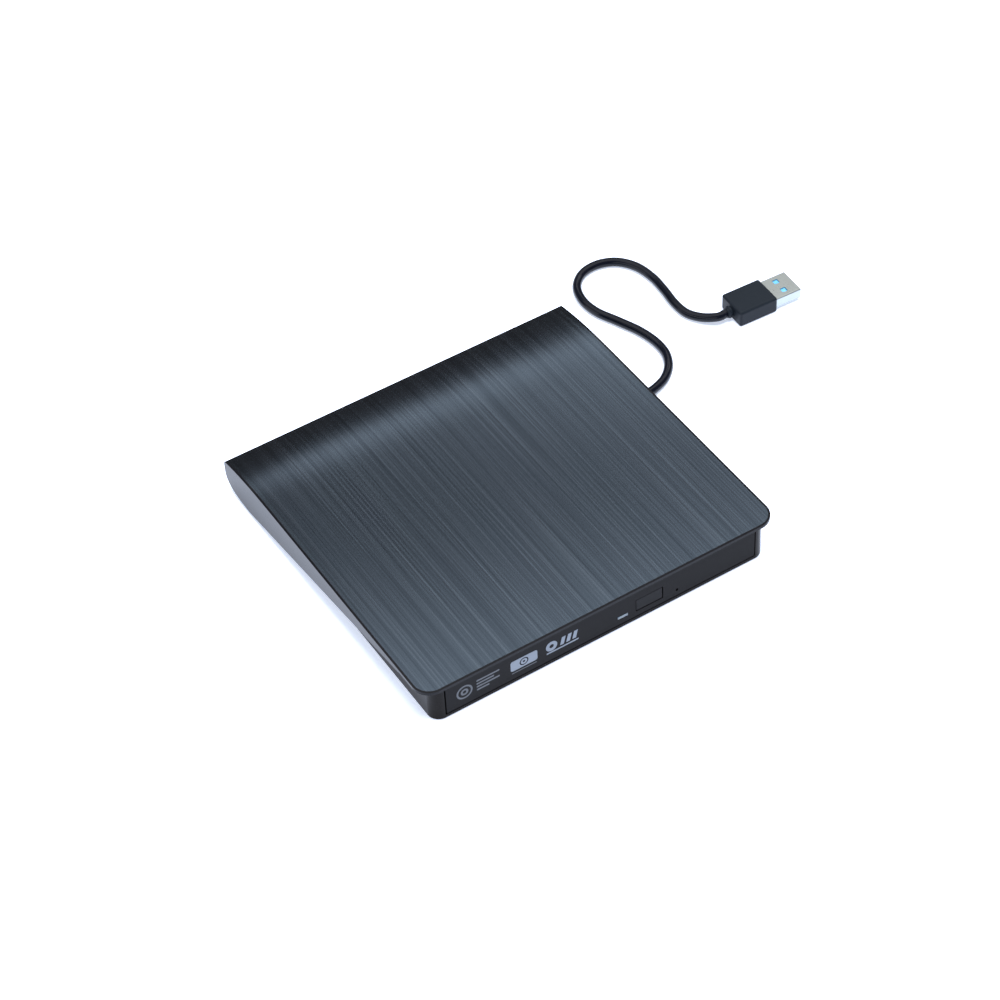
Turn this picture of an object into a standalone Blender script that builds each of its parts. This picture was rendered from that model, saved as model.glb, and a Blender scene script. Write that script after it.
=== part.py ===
"""External USB optical drive: a wedge-shaped cover over a slim tray-load disc drive.

Lengths below are millimetres and become metres where the meshes are made. X is the width,
the tray opens towards -Y, +Z is up, and the origin is on the table under the middle.
"""
import math

import bmesh
import bpy
from mathutils import Matrix, Vector

MM = 0.001
GAP = 0.3                          # running gap between neighbouring pieces

# Enclosure
WIDTH = 146.0
DEPTH = 139.6
HEIGHT = 17.2
FRONT = -DEPTH / 2
REAR = DEPTH / 2
HALF_WIDTH = WIDTH / 2
PLATE = 1.3                        # thickness of the cover's top plate
COVER_WALL = 1.5                   # wall of the rounded rear
COVER_CORNER = 7.0                 # plan radius of the cover's front corners
COVER_REAR_CORNER = 0.9
ROLL_START = 30.0                  # where the flat top begins to roll down to the rear
ROLL_DROP = 2.7                    # how far it has come down at ROLL_END
ROLL_END = 68.6
NOSE_HEIGHT = 10.5                 # height of the rearmost line of the nose
WING_LOW_Z = 1.6                   # underside of the wedge where it is thickest
WING_LOW_Y = 53.0
WING_FRONT_Y = -54.0               # front tip of the wedge's side

# Lower case
CASE_HALF = 68.75
CASE_FRONT = -68.6
CASE_REAR = 59.0
CASE_CORNER = 4.5
CASE_REAR_CORNER = 1.2
FLOOR_LOW = 0.6
FLOOR_HIGH = 1.9
BAY_HALF = 64.2                    # half width of the bay that holds the drive
SCREW_X = 66.2
SCREW_Y = (-46.0, 46.0)
SCREW_HOLE_RADIUS = 1.0
SCREW_SHANK_RADIUS = 0.75
SCREW_HEAD_RADIUS = 1.7
SCREW_HEAD_LOW = 0.75
SCREW_HEAD_HIGH = 1.55
SCREW_TIP = 12.2
POST_LOW = 9.0                     # lower end of the cover's screw posts
POST_WIDTH = 3.3
POST_DEPTH = 3.8
POST_WALL = 0.65                   # case wall left outside a post's pocket
FOOT_X = 54.0
FOOT_Y = (-54.0, 44.0)
FOOT_RADIUS = 4.6
FOOT_HEIGHT = 0.9

# Slim drive: sheet-metal chassis, telescoping rails, tray
PAN_HALF = 63.9
PAN_FRONT = -65.0
PAN_REAR = 58.5
PAN_LOW = 2.2
PAN_HIGH = 13.7
SHEET = 0.6
LID_LOW = 14.0
LID_HIGH = 14.5
SOCKET_X = (-12.0, 22.0)           # the drive's rear connector
SOCKET_Z = (4.3, 8.7)
RAIL_INNER = 60.6
RAIL_OUTER = 62.8
RAIL_Y = (-62.0, 40.0)
RAIL_Z = (6.6, 11.4)
RAIL_WEB = 1.0                     # thickness of the rail behind its groove
RAIL_LIP = 1.0
TRAY_HALF = 60.2
TRAY_FRONT = -65.6
TRAY_REAR = 56.8
TRAY_SKIRT_LOW = 3.2
TRAY_PLATE_LOW = 8.7
TRAY_TOP = 12.6
TRAY_WALL = 1.6
DISC_RECESS_RADIUS = 60.6
DISC_RECESS_FLOOR = 11.6
HUB_OPENING = 16.0
TRAY_WINDOW_END = 62.6             # the pickup's opening, from the spindle outwards
TRAY_WINDOW_HALF = 11.5
UNDERCOVER_X = (-57.9, 28.0)       # sheet that closes the mechanism from below
UNDERCOVER_Y = (-63.4, 28.0)
UNDERCOVER_Z = (3.3, 3.6)
UNDERCOVER_CORNER = 2.0

# Bezel and what is in it
BEZEL_HALF = 63.7
BEZEL_FRONT = -68.7
BEZEL_BACK = -65.9
BEZEL_LOW = 2.5
BEZEL_HIGH = 14.7
BUTTON_X = (13.6, 24.4)
BUTTON_Z = (5.1, 10.2)
LED_X = (5.8, 10.0)
LED_Z = (5.3, 6.4)
PINHOLE = (30.6, 5.3)
LATCH_PIVOT = (47.2, -50.6)
LATCH_Z = (4.4, 6.0)
PLUNGER_X = 44.0
PLUNGER_Z = 6.6
PLUNGER_FRONT = 39.8
PLUNGER_LENGTH = 17.6

# Disc mechanism, in a frame whose +X runs from the spindle along the pickup's travel
SPINDLE_Y = -3.0
MECHANISM_ANGLE = math.radians(225.0)
FRAME_LOW = 7.9
FRAME_HIGH = 8.4
ROD_V = 13.5
ROD_Z = 6.1
ROD_RADIUS = 1.0
ROD_U = (12.8, 64.8)
LEAD_SCREW_U = (22.4, 58.4)
LEAD_SCREW_RADIUS = 0.9
SCREW_V = 18.4
SLED_U = 24.0                      # lens position at rest, its innermost
SLED_LOW = 4.7
SLED_HIGH = 7.5
SLED_HALF = 7.0
LENS_SEAT = 8.3                    # underside of the objective lens
HUB_LOW = 11.0
HUB_HIGH = 13.3
BALL_CIRCLE = 6.55                 # the clamp balls' distance from the spindle's axis
BALL_RADIUS = 0.85
BALL_Z = 12.2

# Cord and plug
CORD_RADIUS = 1.8
CORD_EXIT_Y = 19.2
CORD_EXIT_Z = 2.9
GLAND_END_X = 79.0
GLAND_RADIUS = 1.8
GLAND_FLANGE_RADIUS = 2.5
PLUG_TAIL = (130.9, 38.9)          # where the cord enters the plug, in plan
PLUG_ANGLE = math.radians(-2.5)
PLUG_COLLAR = 2.2                  # length of the short collar at the plug's tail
PLUG_LENGTH = 17.0
PLUG_WIDTH = 13.6
PLUG_THICKNESS = 7.0
PLUG_COLLAR_RADIUS = 2.5
SHELL_WIDTH = 12.0
SHELL_THICKNESS = 4.5
SHELL_OUT = 11.2
SHELL_WALL = 0.35
SHELL_SEAT = 2.2                   # depth of the shell's seat in the overmould
SHELL_CRIMP = 0.25                 # how far the shell's tail, in its seat, is drawn in
SHELL_BACK = 0.6
SHELL_WINDOW = 2.3
SHELL_WINDOW_V = 2.7
SHELL_WINDOW_OUT = 5.4
TONGUE_INSET = 0.6                 # the tongue's distance from the shell's outer faces


# ------------------------------------------------------------------ scene and materials
for old in list(bpy.data.objects):
    bpy.data.objects.remove(old, do_unlink=True)

PARTS = bpy.data.collections.new("external_optical_drive")
CUTTERS = bpy.data.collections.new("cutters")
bpy.context.scene.collection.children.link(PARTS)
bpy.context.scene.collection.children.link(CUTTERS)


def material(name, color, roughness, metallic=0.0):
    made = bpy.data.materials.new(name)
    made.use_nodes = True
    shader = made.node_tree.nodes["Principled BSDF"]
    shader.inputs["Base Color"].default_value = (*color, 1.0)
    shader.inputs["Roughness"].default_value = roughness
    shader.inputs["Metallic"].default_value = metallic
    return made


COVER_BLACK = material("cover_brushed_black", (0.075, 0.098, 0.120), 0.38, 0.4)
CASE_GLOSS = material("case_gloss_black", (0.020, 0.021, 0.026), 0.18)
BEZEL_SATIN = material("bezel_satin_black", (0.036, 0.040, 0.048), 0.42)
BUTTON_SATIN = material("button_satin_black", (0.030, 0.033, 0.040), 0.38)
LED_SMOKE = material("led_window", (0.62, 0.64, 0.66), 0.30)
FOOT_RUBBER = material("foot_rubber", (0.030, 0.030, 0.032), 0.85)
CORD_VINYL = material("cord_vinyl", (0.012, 0.013, 0.017), 0.25)
PLUG_VINYL = material("plug_vinyl", (0.018, 0.022, 0.030), 0.45)
PLUG_STEEL = material("plug_nickel", (0.62, 0.60, 0.57), 0.28, 1.0)
TONGUE_BLUE = material("plug_insulator_blue", (0.045, 0.330, 0.700), 0.40)
ZINC_STEEL = material("zinc_sheet_steel", (0.55, 0.56, 0.58), 0.35, 1.0)
SCREW_STEEL = material("screw_black_steel", (0.10, 0.10, 0.11), 0.40, 1.0)
BRIGHT_STEEL = material("ground_steel", (0.70, 0.70, 0.70), 0.20, 1.0)
TRAY_PLASTIC = material("tray_black_plastic", (0.022, 0.023, 0.026), 0.50)
SLED_ZINC = material("sled_die_cast_zinc", (0.42, 0.43, 0.45), 0.45, 1.0)
PCB_GREEN = material("circuit_board_green", (0.020, 0.110, 0.055), 0.40)
CHIP_BLACK = material("chip_epoxy", (0.018, 0.018, 0.020), 0.55)
FLEX_AMBER = material("flex_polyimide", (0.48, 0.22, 0.04), 0.35)
GROMMET_RUBBER = material("grommet_rubber", (0.035, 0.035, 0.038), 0.90)
LENS_GLASS = material("lens_glass", (0.30, 0.36, 0.55), 0.05)
HUB_PLASTIC = material("hub_black_plastic", (0.030, 0.030, 0.033), 0.35)


# ------------------------------------------------------------------ shape builders
def add(name, mesh, surface, collection=None, parent=None, location=(0, 0, 0)):
    made = bpy.data.objects.new(name, mesh)
    made.location = Vector(location) * MM
    made.parent = parent
    (collection or PARTS).objects.link(made)
    if surface:
        mesh.materials.append(surface)
    else:
        made.hide_render = True
        made.display_type = "WIRE"
    return made


def box_mesh(name, size):
    mesh = bpy.data.meshes.new(name)
    work = bmesh.new()
    bmesh.ops.create_cube(work, size=1.0)
    bmesh.ops.scale(work, vec=Vector(size) * MM, verts=work.verts)
    work.to_mesh(mesh)
    work.free()
    return mesh


def box(name, x, y, z, surface, parent=None, round_edges=0.0):
    size = (x[1] - x[0], y[1] - y[0], z[1] - z[0])
    middle = ((x[0] + x[1]) / 2, (y[0] + y[1]) / 2, (z[0] + z[1]) / 2)
    made = add(name, box_mesh(name, size), surface, parent=parent, location=middle)
    if round_edges:
        bevel(made, round_edges)
    return made


def bevel(piece, width, segments=2, angle=40.0):
    rounding = piece.modifiers.new("rounded_edges", "BEVEL")
    rounding.width = width * MM
    rounding.segments = segments
    rounding.limit_method = "ANGLE"
    rounding.angle_limit = math.radians(angle)
    return piece


def round_mesh(name, radius, length, axis="Z", sides=32):
    mesh = bpy.data.meshes.new(name)
    work = bmesh.new()
    bmesh.ops.create_cone(work, cap_ends=True, segments=sides, radius1=radius * MM,
                          radius2=radius * MM, depth=length * MM)
    turn = {"X": Matrix.Rotation(math.radians(90), 4, "Y"),
            "Y": Matrix.Rotation(math.radians(-90), 4, "X"),
            "Z": Matrix.Identity(4)}[axis]
    bmesh.ops.transform(work, matrix=turn, verts=work.verts)
    work.to_mesh(mesh)
    work.free()
    mesh.shade_smooth()
    mesh.set_sharp_from_angle(angle=math.radians(35))
    return mesh


def cylinder(name, middle, radius, length, surface, axis="Z", sides=32, parent=None):
    mesh = round_mesh(name, radius, length, axis, sides)
    return add(name, mesh, surface, parent=parent, location=middle)


def turned(name, profile, surface, parent=None, location=(0, 0, 0), steps=40):
    """A closed body turned about Z from (radius, height) points listed top to bottom."""
    mesh = bpy.data.meshes.new(name)
    points = [(r * MM, 0, z * MM) for r, z in profile]
    mesh.from_pydata(points, [(i, i + 1) for i in range(len(points) - 1)], [])
    made = add(name, mesh, surface, parent=parent, location=location)
    spin = made.modifiers.new("turned", "SCREW")
    spin.steps = steps
    spin.render_steps = steps
    spin.use_merge_vertices = True
    spin.merge_threshold = 0.00001
    spin.use_smooth_shade = False
    return made


def arc(center, radius, start, end, steps=6):
    turn = [math.radians(start + (end - start) * i / steps) for i in range(steps + 1)]
    return [(center[0] + radius * math.cos(a), center[1] + radius * math.sin(a)) for a in turn]


def bezier(a, b, c, d, steps):
    points = []
    for i in range(steps + 1):
        t = i / steps
        s = 1 - t
        points.append(tuple(s**3 * a[k] + 3 * s * s * t * b[k] + 3 * s * t * t * c[k] + t**3 * d[k]
                            for k in range(2)))
    return points


def rounded_rectangle(x, y, front_radius, rear_radius):
    left, right = x
    front, rear = y
    f, r = front_radius, rear_radius
    return (arc((left + f, front + f), f, 180, 270) + arc((right - f, front + f), f, 270, 360)
            + arc((right - r, rear - r), r, 0, 90, 4) + arc((left + r, rear - r), r, 90, 180, 4))


def outline_mesh(name, points, low, high, axis="Z"):
    """A flat outline, extruded from low to high along Z, or along X for (y, z) points."""
    curve = bpy.data.curves.new(name, "CURVE")
    curve.dimensions = "2D"
    curve.fill_mode = "BOTH"
    curve.extrude = (high - low) / 2 * MM
    line = curve.splines.new("POLY")
    line.points.add(len(points) - 1)
    for target, (a, b) in zip(line.points, points):
        target.co = (a * MM, b * MM, 0, 1)
    line.use_cyclic_u = True
    guide = bpy.data.objects.new(name + "_outline", curve)
    CUTTERS.objects.link(guide)
    mesh = bpy.data.meshes.new_from_object(guide.evaluated_get(bpy.context.evaluated_depsgraph_get()))
    bpy.data.objects.remove(guide)
    shift = Matrix.Translation((0, 0, (low + high) / 2 * MM))
    along_x = Matrix(((0, 0, 1, 0), (1, 0, 0, 0), (0, 1, 0, 0), (0, 0, 0, 1)))
    mesh.transform(along_x @ shift if axis == "X" else shift)
    work = bmesh.new()
    work.from_mesh(mesh)
    bmesh.ops.remove_doubles(work, verts=work.verts, dist=0.000001)
    bmesh.ops.recalc_face_normals(work, faces=work.faces)
    bmesh.ops.dissolve_limit(work, angle_limit=math.radians(0.1), verts=work.verts,
                             edges=work.edges)
    work.to_mesh(mesh)
    work.free()
    mesh.name = name
    mesh.materials.clear()
    return mesh


def boolean(piece, mesh, operation="DIFFERENCE", parent=None, location=(0, 0, 0)):
    tool = add(mesh.name + "_tool", mesh, None, CUTTERS, parent, location)
    step = piece.modifiers.new(mesh.name, "BOOLEAN")
    step.object = tool
    step.operation = operation
    step.solver = "EXACT"
    return tool


def cut_box(piece, x, y, z, parent=None):
    size = (x[1] - x[0], y[1] - y[0], z[1] - z[0])
    middle = ((x[0] + x[1]) / 2, (y[0] + y[1]) / 2, (z[0] + z[1]) / 2)
    return boolean(piece, box_mesh(piece.name + "_cut", size), parent=parent, location=middle)


def join_box(piece, x, y, z, parent=None):
    tool = cut_box(piece, x, y, z, parent)
    piece.modifiers[-1].operation = "UNION"
    return tool


def cut_round(piece, middle, radius, length, axis="Z", sides=32, parent=None):
    mesh = round_mesh(piece.name + "_hole", radius, length, axis, sides)
    return boolean(piece, mesh, parent=parent, location=middle)


# ------------------------------------------------------------------ enclosure
def roll(y):
    """How far the cover's top has rolled down at depth y."""
    past = max(0.0, y - ROLL_START) / (ROLL_END - ROLL_START)
    return ROLL_DROP * past**3


def top_line(lift, rear, steps=8):
    """The cover's top line from the flat part to the rear, raised by lift."""
    span = [ROLL_START + (rear - ROLL_START) * i / steps for i in range(steps + 1)]
    return [(y, HEIGHT + lift - roll(y)) for y in span]


def nose(inset):
    """The rounded rear end, from the top line round to the underside."""
    top = (ROLL_END - inset, HEIGHT - ROLL_DROP - inset)
    rear = (REAR - inset, NOSE_HEIGHT)
    under = (WING_LOW_Y, WING_LOW_Z + inset)
    upper = bezier(top, (top[0] + 0.9, top[1] - 0.6), (rear[0], rear[1] + 2.1), rear, 4)
    reach = REAR - WING_LOW_Y
    lower = bezier(rear, (rear[0], rear[1] - 5.2), (WING_LOW_Y + reach * 0.88 - inset, under[1]),
                   under, 8)
    return upper[1:] + lower[1:]


def top_cover():
    side = [(FRONT - 1, HEIGHT), *top_line(0, ROLL_END), *nose(0),
            (WING_FRONT_Y + 0.6, HEIGHT - PLATE - 0.45), (WING_FRONT_Y, HEIGHT - PLATE),
            (FRONT - 1, HEIGHT - PLATE)]
    cover = add("top_cover", outline_mesh("top_cover", side, -HALF_WIDTH, HALF_WIDTH, "X"),
                COVER_BLACK)
    plan = rounded_rectangle((-HALF_WIDTH - 0.001, HALF_WIDTH + 0.001), (FRONT, REAR + 0.5),
                             COVER_CORNER, COVER_REAR_CORNER)
    boolean(cover, outline_mesh("cover_plan", plan, -2, HEIGHT + 2), "INTERSECT")
    wall = COVER_WALL
    inner_rear = [(y, z) for y, z in nose(wall) if y > CASE_REAR + GAP]
    cavity = [(WING_FRONT_Y - 4, HEIGHT - PLATE), *top_line(-PLATE, ROLL_END - wall), *inner_rear,
              (CASE_REAR + GAP, WING_LOW_Z + wall), (CASE_REAR + GAP, -4),
              (WING_FRONT_Y - 4, -4)]
    half = CASE_HALF + GAP
    boolean(cover, outline_mesh("cover_cavity", cavity, -half, half, "X"))
    for side_sign in (-1, 1):
        for y in SCREW_Y:
            x = side_sign * (SCREW_X - 0.15)
            join_box(cover, (x - POST_WIDTH / 2, x + POST_WIDTH / 2),
                     (y - POST_DEPTH / 2, y + POST_DEPTH / 2), (POST_LOW, HEIGHT - PLATE / 2))
            cut_round(cover, (side_sign * SCREW_X, y, POST_LOW + 2), SCREW_HOLE_RADIUS, 5,
                      sides=16)
    return cover


def lower_case():
    top = HEIGHT - PLATE - GAP
    side = [(CASE_FRONT - 1, FLOOR_LOW), (CASE_FRONT - 1, top),
            *top_line(-PLATE - GAP, CASE_REAR, 6), (CASE_REAR, FLOOR_LOW)]
    case = add("lower_case", outline_mesh("lower_case", side, -CASE_HALF - 1, CASE_HALF + 1, "X"),
               CASE_GLOSS)
    plan = rounded_rectangle((-CASE_HALF, CASE_HALF), (CASE_FRONT, CASE_REAR - 0.001),
                             CASE_CORNER, CASE_REAR_CORNER)
    boolean(case, outline_mesh("case_plan", plan, -2, HEIGHT + 2), "INTERSECT")
    cut_box(case, (-BAY_HALF, BAY_HALF), (CASE_FRONT - 5, CASE_REAR + 5), (FLOOR_HIGH, HEIGHT + 5))
    for side_sign in (-1, 1):
        inner = side_sign * (BAY_HALF - 1)
        outer = side_sign * (CASE_HALF - POST_WALL)
        pocket = (min(inner, outer), max(inner, outer))
        for y in SCREW_Y:
            reach = POST_DEPTH / 2 + GAP
            cut_box(case, pocket, (y - reach, y + reach), (POST_LOW - GAP, HEIGHT))
            cut_round(case, (side_sign * SCREW_X, y, 5), SCREW_HOLE_RADIUS, 10, sides=16)
            cut_round(case, (side_sign * SCREW_X, y, FLOOR_LOW), SCREW_HEAD_RADIUS + GAP,
                      2 * (SCREW_HEAD_HIGH + GAP - FLOOR_LOW), sides=20)
        for y in FOOT_Y:
            cut_round(case, (side_sign * FOOT_X, y, FLOOR_LOW), FOOT_RADIUS + GAP,
                      2 * (FOOT_HEIGHT + GAP - FLOOR_LOW), sides=28)
    cut_round(case, (CASE_HALF - 2, CORD_EXIT_Y, CORD_EXIT_Z), GLAND_RADIUS + GAP, 8, "X", 20)
    return case


def feet_and_screws():
    for side_sign, side_name in ((-1, "left"), (1, "right")):
        for y, end in zip(FOOT_Y, ("front", "rear")):
            foot = cylinder(f"foot_{end}_{side_name}", (side_sign * FOOT_X, y, FOOT_HEIGHT / 2),
                            FOOT_RADIUS, FOOT_HEIGHT, FOOT_RUBBER, sides=28)
            bevel(foot, 0.25, 1)
        for y, end in zip(SCREW_Y, ("front", "rear")):
            profile = [(0, SCREW_TIP), (SCREW_SHANK_RADIUS, SCREW_TIP - 0.6),
                       (SCREW_SHANK_RADIUS, SCREW_HEAD_HIGH), (SCREW_HEAD_RADIUS, SCREW_HEAD_HIGH),
                       (SCREW_HEAD_RADIUS, SCREW_HEAD_LOW), (0, SCREW_HEAD_LOW)]
            screw = turned(f"case_screw_{end}_{side_name}", profile, SCREW_STEEL,
                           location=(side_sign * SCREW_X, y, 0), steps=16)
            screw.data.shade_smooth()


# ------------------------------------------------------------------ slim drive, fixed pieces
def chassis():
    pan = box("chassis_pan", (-PAN_HALF, PAN_HALF), (PAN_FRONT, PAN_REAR), (PAN_LOW, PAN_HIGH),
              ZINC_STEEL)
    inner = PAN_HALF - SHEET
    cut_box(pan, (-inner, inner), (PAN_FRONT - 5, PAN_REAR - SHEET),
            (PAN_LOW + SHEET, PAN_HIGH + 5))
    cut_box(pan, (SOCKET_X[0] - 2 * GAP, SOCKET_X[1] + 2 * GAP), (PAN_REAR - 2, PAN_REAR + 2),
            (SOCKET_Z[0] - GAP, SOCKET_Z[1] + GAP))
    box("chassis_lid", (-PAN_HALF, PAN_HALF), (PAN_FRONT, PAN_REAR), (LID_LOW, LID_HIGH),
        ZINC_STEEL)


def boards():
    box("main_board", (-58, 32), (31, 57.4), (3.1, 3.9), PCB_GREEN)
    box("drive_controller_chip", (-34, -20), (36, 50), (4.1, 5.3), CHIP_BLACK)
    box("motor_driver_chip", (-6, 2), (38, 46), (4.1, 5.1), CHIP_BLACK)
    box("drive_sata_socket", SOCKET_X, (50.5, 59.2), SOCKET_Z, CHIP_BLACK)
    box("bridge_board", (-26, 26), (59.5, 64.4), (4.6, 5.4), PCB_GREEN)
    box("bridge_chip", (-22, -16), (60.0, 64.0), (5.7, 6.6), CHIP_BLACK)
    box("bridge_sata_plug", SOCKET_X, (59.5, 63.5), (5.7, SOCKET_Z[1]), CHIP_BLACK)
    ribbon = [(30.7, 2.95), (-18, 2.95), *arc((-18, 3.6), 0.65, 270, 90, 6), (8, 4.25), (8, 4.1),
              *arc((-18, 3.6), 0.5, 90, 270, 6), (30.7, 3.1)]
    add("flex_ribbon", outline_mesh("flex_ribbon", ribbon, -10, 10, "X"), FLEX_AMBER,
        location=(40, 0, 0))


# ------------------------------------------------------------------ rails and tray
def rails():
    for side_sign, side_name in ((-1, "left"), (1, "right")):
        near = side_sign * RAIL_INNER
        far = side_sign * RAIL_OUTER
        rail = box(f"slide_rail_{side_name}", (min(near, far), max(near, far)), RAIL_Y, RAIL_Z,
                   ZINC_STEEL)
        groove = sorted((near - side_sign, far - side_sign * RAIL_WEB))
        cut_box(rail, groove, (RAIL_Y[0] - 1, RAIL_Y[1] + 1), (RAIL_Z[0] + RAIL_LIP, RAIL_Z[1] - RAIL_LIP))


def mechanism_empty():
    frame = bpy.data.objects.new("mechanism_frame", None)
    frame.location = Vector((0, SPINDLE_Y, 0)) * MM
    frame.rotation_euler = (0, 0, MECHANISM_ANGLE)
    PARTS.objects.link(frame)
    return frame


def disc_tray(mechanism):
    tray = box("disc_tray", (-TRAY_HALF, TRAY_HALF), (TRAY_FRONT, TRAY_REAR),
               (TRAY_SKIRT_LOW, TRAY_TOP), TRAY_PLASTIC)
    inner = TRAY_HALF - TRAY_WALL
    cut_box(tray, (-inner, inner), (TRAY_FRONT + TRAY_WALL, TRAY_REAR + 5),
            (TRAY_SKIRT_LOW - 5, TRAY_PLATE_LOW))
    cut_round(tray, (0, SPINDLE_Y, DISC_RECESS_FLOOR + 5), DISC_RECESS_RADIUS, 10, sides=72)
    opening = rounded_rectangle((0, TRAY_WINDOW_END), (-TRAY_WINDOW_HALF, TRAY_WINDOW_HALF), 2, 2)
    window = outline_mesh("tray_window", opening, TRAY_PLATE_LOW - 3, TRAY_TOP + 3)
    boolean(tray, window, parent=mechanism)
    cut_round(tray, (0, SPINDLE_Y, TRAY_TOP), HUB_OPENING, 20, sides=40)
    cut_box(tray, (BUTTON_X[0] - 0.4, BUTTON_X[1] + 0.4), (TRAY_FRONT - 1, TRAY_FRONT + 3),
            (BUTTON_Z[0] - 0.4, TRAY_PLATE_LOW - 0.2))
    cut_box(tray, (LED_X[0] - 0.6, LED_X[1] + 0.6), (TRAY_FRONT - 1, TRAY_FRONT + 3),
            (LED_Z[0] - 0.6, LED_Z[1] + 0.6))
    cut_round(tray, (PINHOLE[0], TRAY_FRONT, PINHOLE[1]), 1.0, 6, "Y", 16)
    join_box(tray, (PLUNGER_X - 3, PLUNGER_X + 3), (PLUNGER_FRONT - 4.2, PLUNGER_FRONT - 0.2),
             (PLUNGER_Z - 2.2, TRAY_PLATE_LOW + 0.5))


def tray_undercover():
    sheet = rounded_rectangle(UNDERCOVER_X, UNDERCOVER_Y, UNDERCOVER_CORNER, UNDERCOVER_CORNER)
    add("tray_undercover", outline_mesh("tray_undercover", sheet, *UNDERCOVER_Z), ZINC_STEEL)


def tray_bezel():
    bezel = box("tray_bezel", (-BEZEL_HALF, BEZEL_HALF), (BEZEL_FRONT, BEZEL_BACK),
                (BEZEL_LOW, BEZEL_HIGH), BEZEL_SATIN)
    through = (BEZEL_FRONT - 1, BEZEL_BACK + 1)
    cut_box(bezel, (BUTTON_X[0] - 0.25, BUTTON_X[1] + 0.25), through,
            (BUTTON_Z[0] - 0.25, BUTTON_Z[1] + 0.25))
    cut_box(bezel, (LED_X[0] - 0.1, LED_X[1] + 0.1), through, (LED_Z[0] - 0.1, LED_Z[1] + 0.1))
    cut_round(bezel, (PINHOLE[0], BEZEL_FRONT + 1, PINHOLE[1]), 0.6, 8, "Y", 16)
    button = box("eject_button", BUTTON_X, (BEZEL_FRONT + 0.15, BEZEL_BACK - 0.4), BUTTON_Z,
                 BUTTON_SATIN)
    middle = sum(BUTTON_X) / 2
    join_box(button, (middle - 1.2, middle + 1.2), (BEZEL_BACK - 1.5, TRAY_FRONT + 0.7), (5.8, 7.8))
    box("activity_led_window", LED_X, (BEZEL_FRONT - 0.02, BEZEL_BACK + 0.1), LED_Z, LED_SMOKE)


def tray_electrics():
    box("front_board", (3.6, 29), (-63.6, -55.6), (3.9, 4.7), PCB_GREEN)
    box("eject_switch", (16.2, 21.8), (-63.8, -60.6), (5.0, 8.2), CHIP_BLACK)
    box("latch_solenoid", (33, 45), (-62.6, -55.6), (4.2, 8.3), CHIP_BLACK, round_edges=0.4)
    pin_radius = 0.8
    hook = [*arc((0, 0), 2.2, 90, 270, 8), (9.5, -2.2), (9.5, 3.4), (7.4, 3.4), (7.4, 0.6),
            (2.0, 0.6)]
    latch = add("latch_hook", outline_mesh("latch_hook", hook, *LATCH_Z), HUB_PLASTIC,
                location=(*LATCH_PIVOT, 0))
    cut_round(latch, (*LATCH_PIVOT, 5), pin_radius + GAP, 5, sides=16)
    cylinder("latch_pivot", (*LATCH_PIVOT, 6.3), pin_radius, 4.2, BRIGHT_STEEL, sides=16)


def eject_plunger():
    middle = PLUNGER_FRONT + PLUNGER_LENGTH / 2
    cylinder("eject_plunger", (PLUNGER_X, middle, PLUNGER_Z), 0.9, PLUNGER_LENGTH, HUB_PLASTIC, "Y",
             16)
    turns = 6
    per_turn = 12
    coil_radius = 1.7
    coil_front = PLUNGER_FRONT + 0.6
    pitch = 2.6
    curve = bpy.data.curves.new("eject_spring", "CURVE")
    curve.dimensions = "3D"
    curve.bevel_depth = 0.22 * MM
    curve.bevel_resolution = 2
    curve.use_fill_caps = True
    coil = curve.splines.new("POLY")
    coil.points.add(turns * per_turn)
    for i, point in enumerate(coil.points):
        a = 2 * math.pi * i / per_turn
        point.co = (coil_radius * math.cos(a) * MM, (coil_front + pitch * i / per_turn) * MM,
                    coil_radius * math.sin(a) * MM, 1)
    spring = bpy.data.objects.new("eject_spring", curve)
    spring.location = Vector((PLUNGER_X, 0, PLUNGER_Z)) * MM
    curve.materials.append(BRIGHT_STEEL)
    PARTS.objects.link(spring)


# ------------------------------------------------------------------ disc mechanism
def traverse(mechanism):
    outline = [(-17, -19), (62, -19), (66, -15), (66, 15), (60, 21), (-17, 21)]
    frame = add("traverse_frame", outline_mesh("traverse_frame", outline, FRAME_LOW, FRAME_HIGH),
                ZINC_STEEL, parent=mechanism)
    window = rounded_rectangle((14.5, 62.2), (-10.5, 10.5), 1.5, 1.5)
    boolean(frame, outline_mesh("frame_window", window, FRAME_LOW - 2, FRAME_HIGH + 2),
            parent=mechanism)
    cut_round(frame, (0, 0, FRAME_LOW), 12.2, 6, sides=36, parent=mechanism)
    for number, (u, v) in enumerate(((-13.2, -15.2), (-13.2, 17.2), (56.0, 17.2)), 1):
        cut_round(frame, (u, v, FRAME_LOW), 2.0, 6, sides=20, parent=mechanism)
        turned(f"grommet_{number}", [(0, 7.75), (1.7, 7.75), (1.7, 8.55), (0, 8.55)][::-1],
               GROMMET_RUBBER, mechanism, (u, v, 0), 20)
    for name, v in (("guide_rod_main", ROD_V), ("guide_rod_aux", -ROD_V)):
        cylinder(name, (sum(ROD_U) / 2, v, ROD_Z), ROD_RADIUS, ROD_U[1] - ROD_U[0], BRIGHT_STEEL,
                 "X", 16, mechanism)
    box("sled_motor", (9.5, 22), (15.8, 21.6), (4.4, 7.5), ZINC_STEEL, mechanism, 0.5)
    cylinder("lead_screw", (sum(LEAD_SCREW_U) / 2, SCREW_V, ROD_Z), LEAD_SCREW_RADIUS,
             LEAD_SCREW_U[1] - LEAD_SCREW_U[0], BRIGHT_STEEL, "X", 12, mechanism)
    box("spindle_motor_base", (-13, 11.2), (-12, 12), (4.4, 4.9), PCB_GREEN, mechanism)


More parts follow.
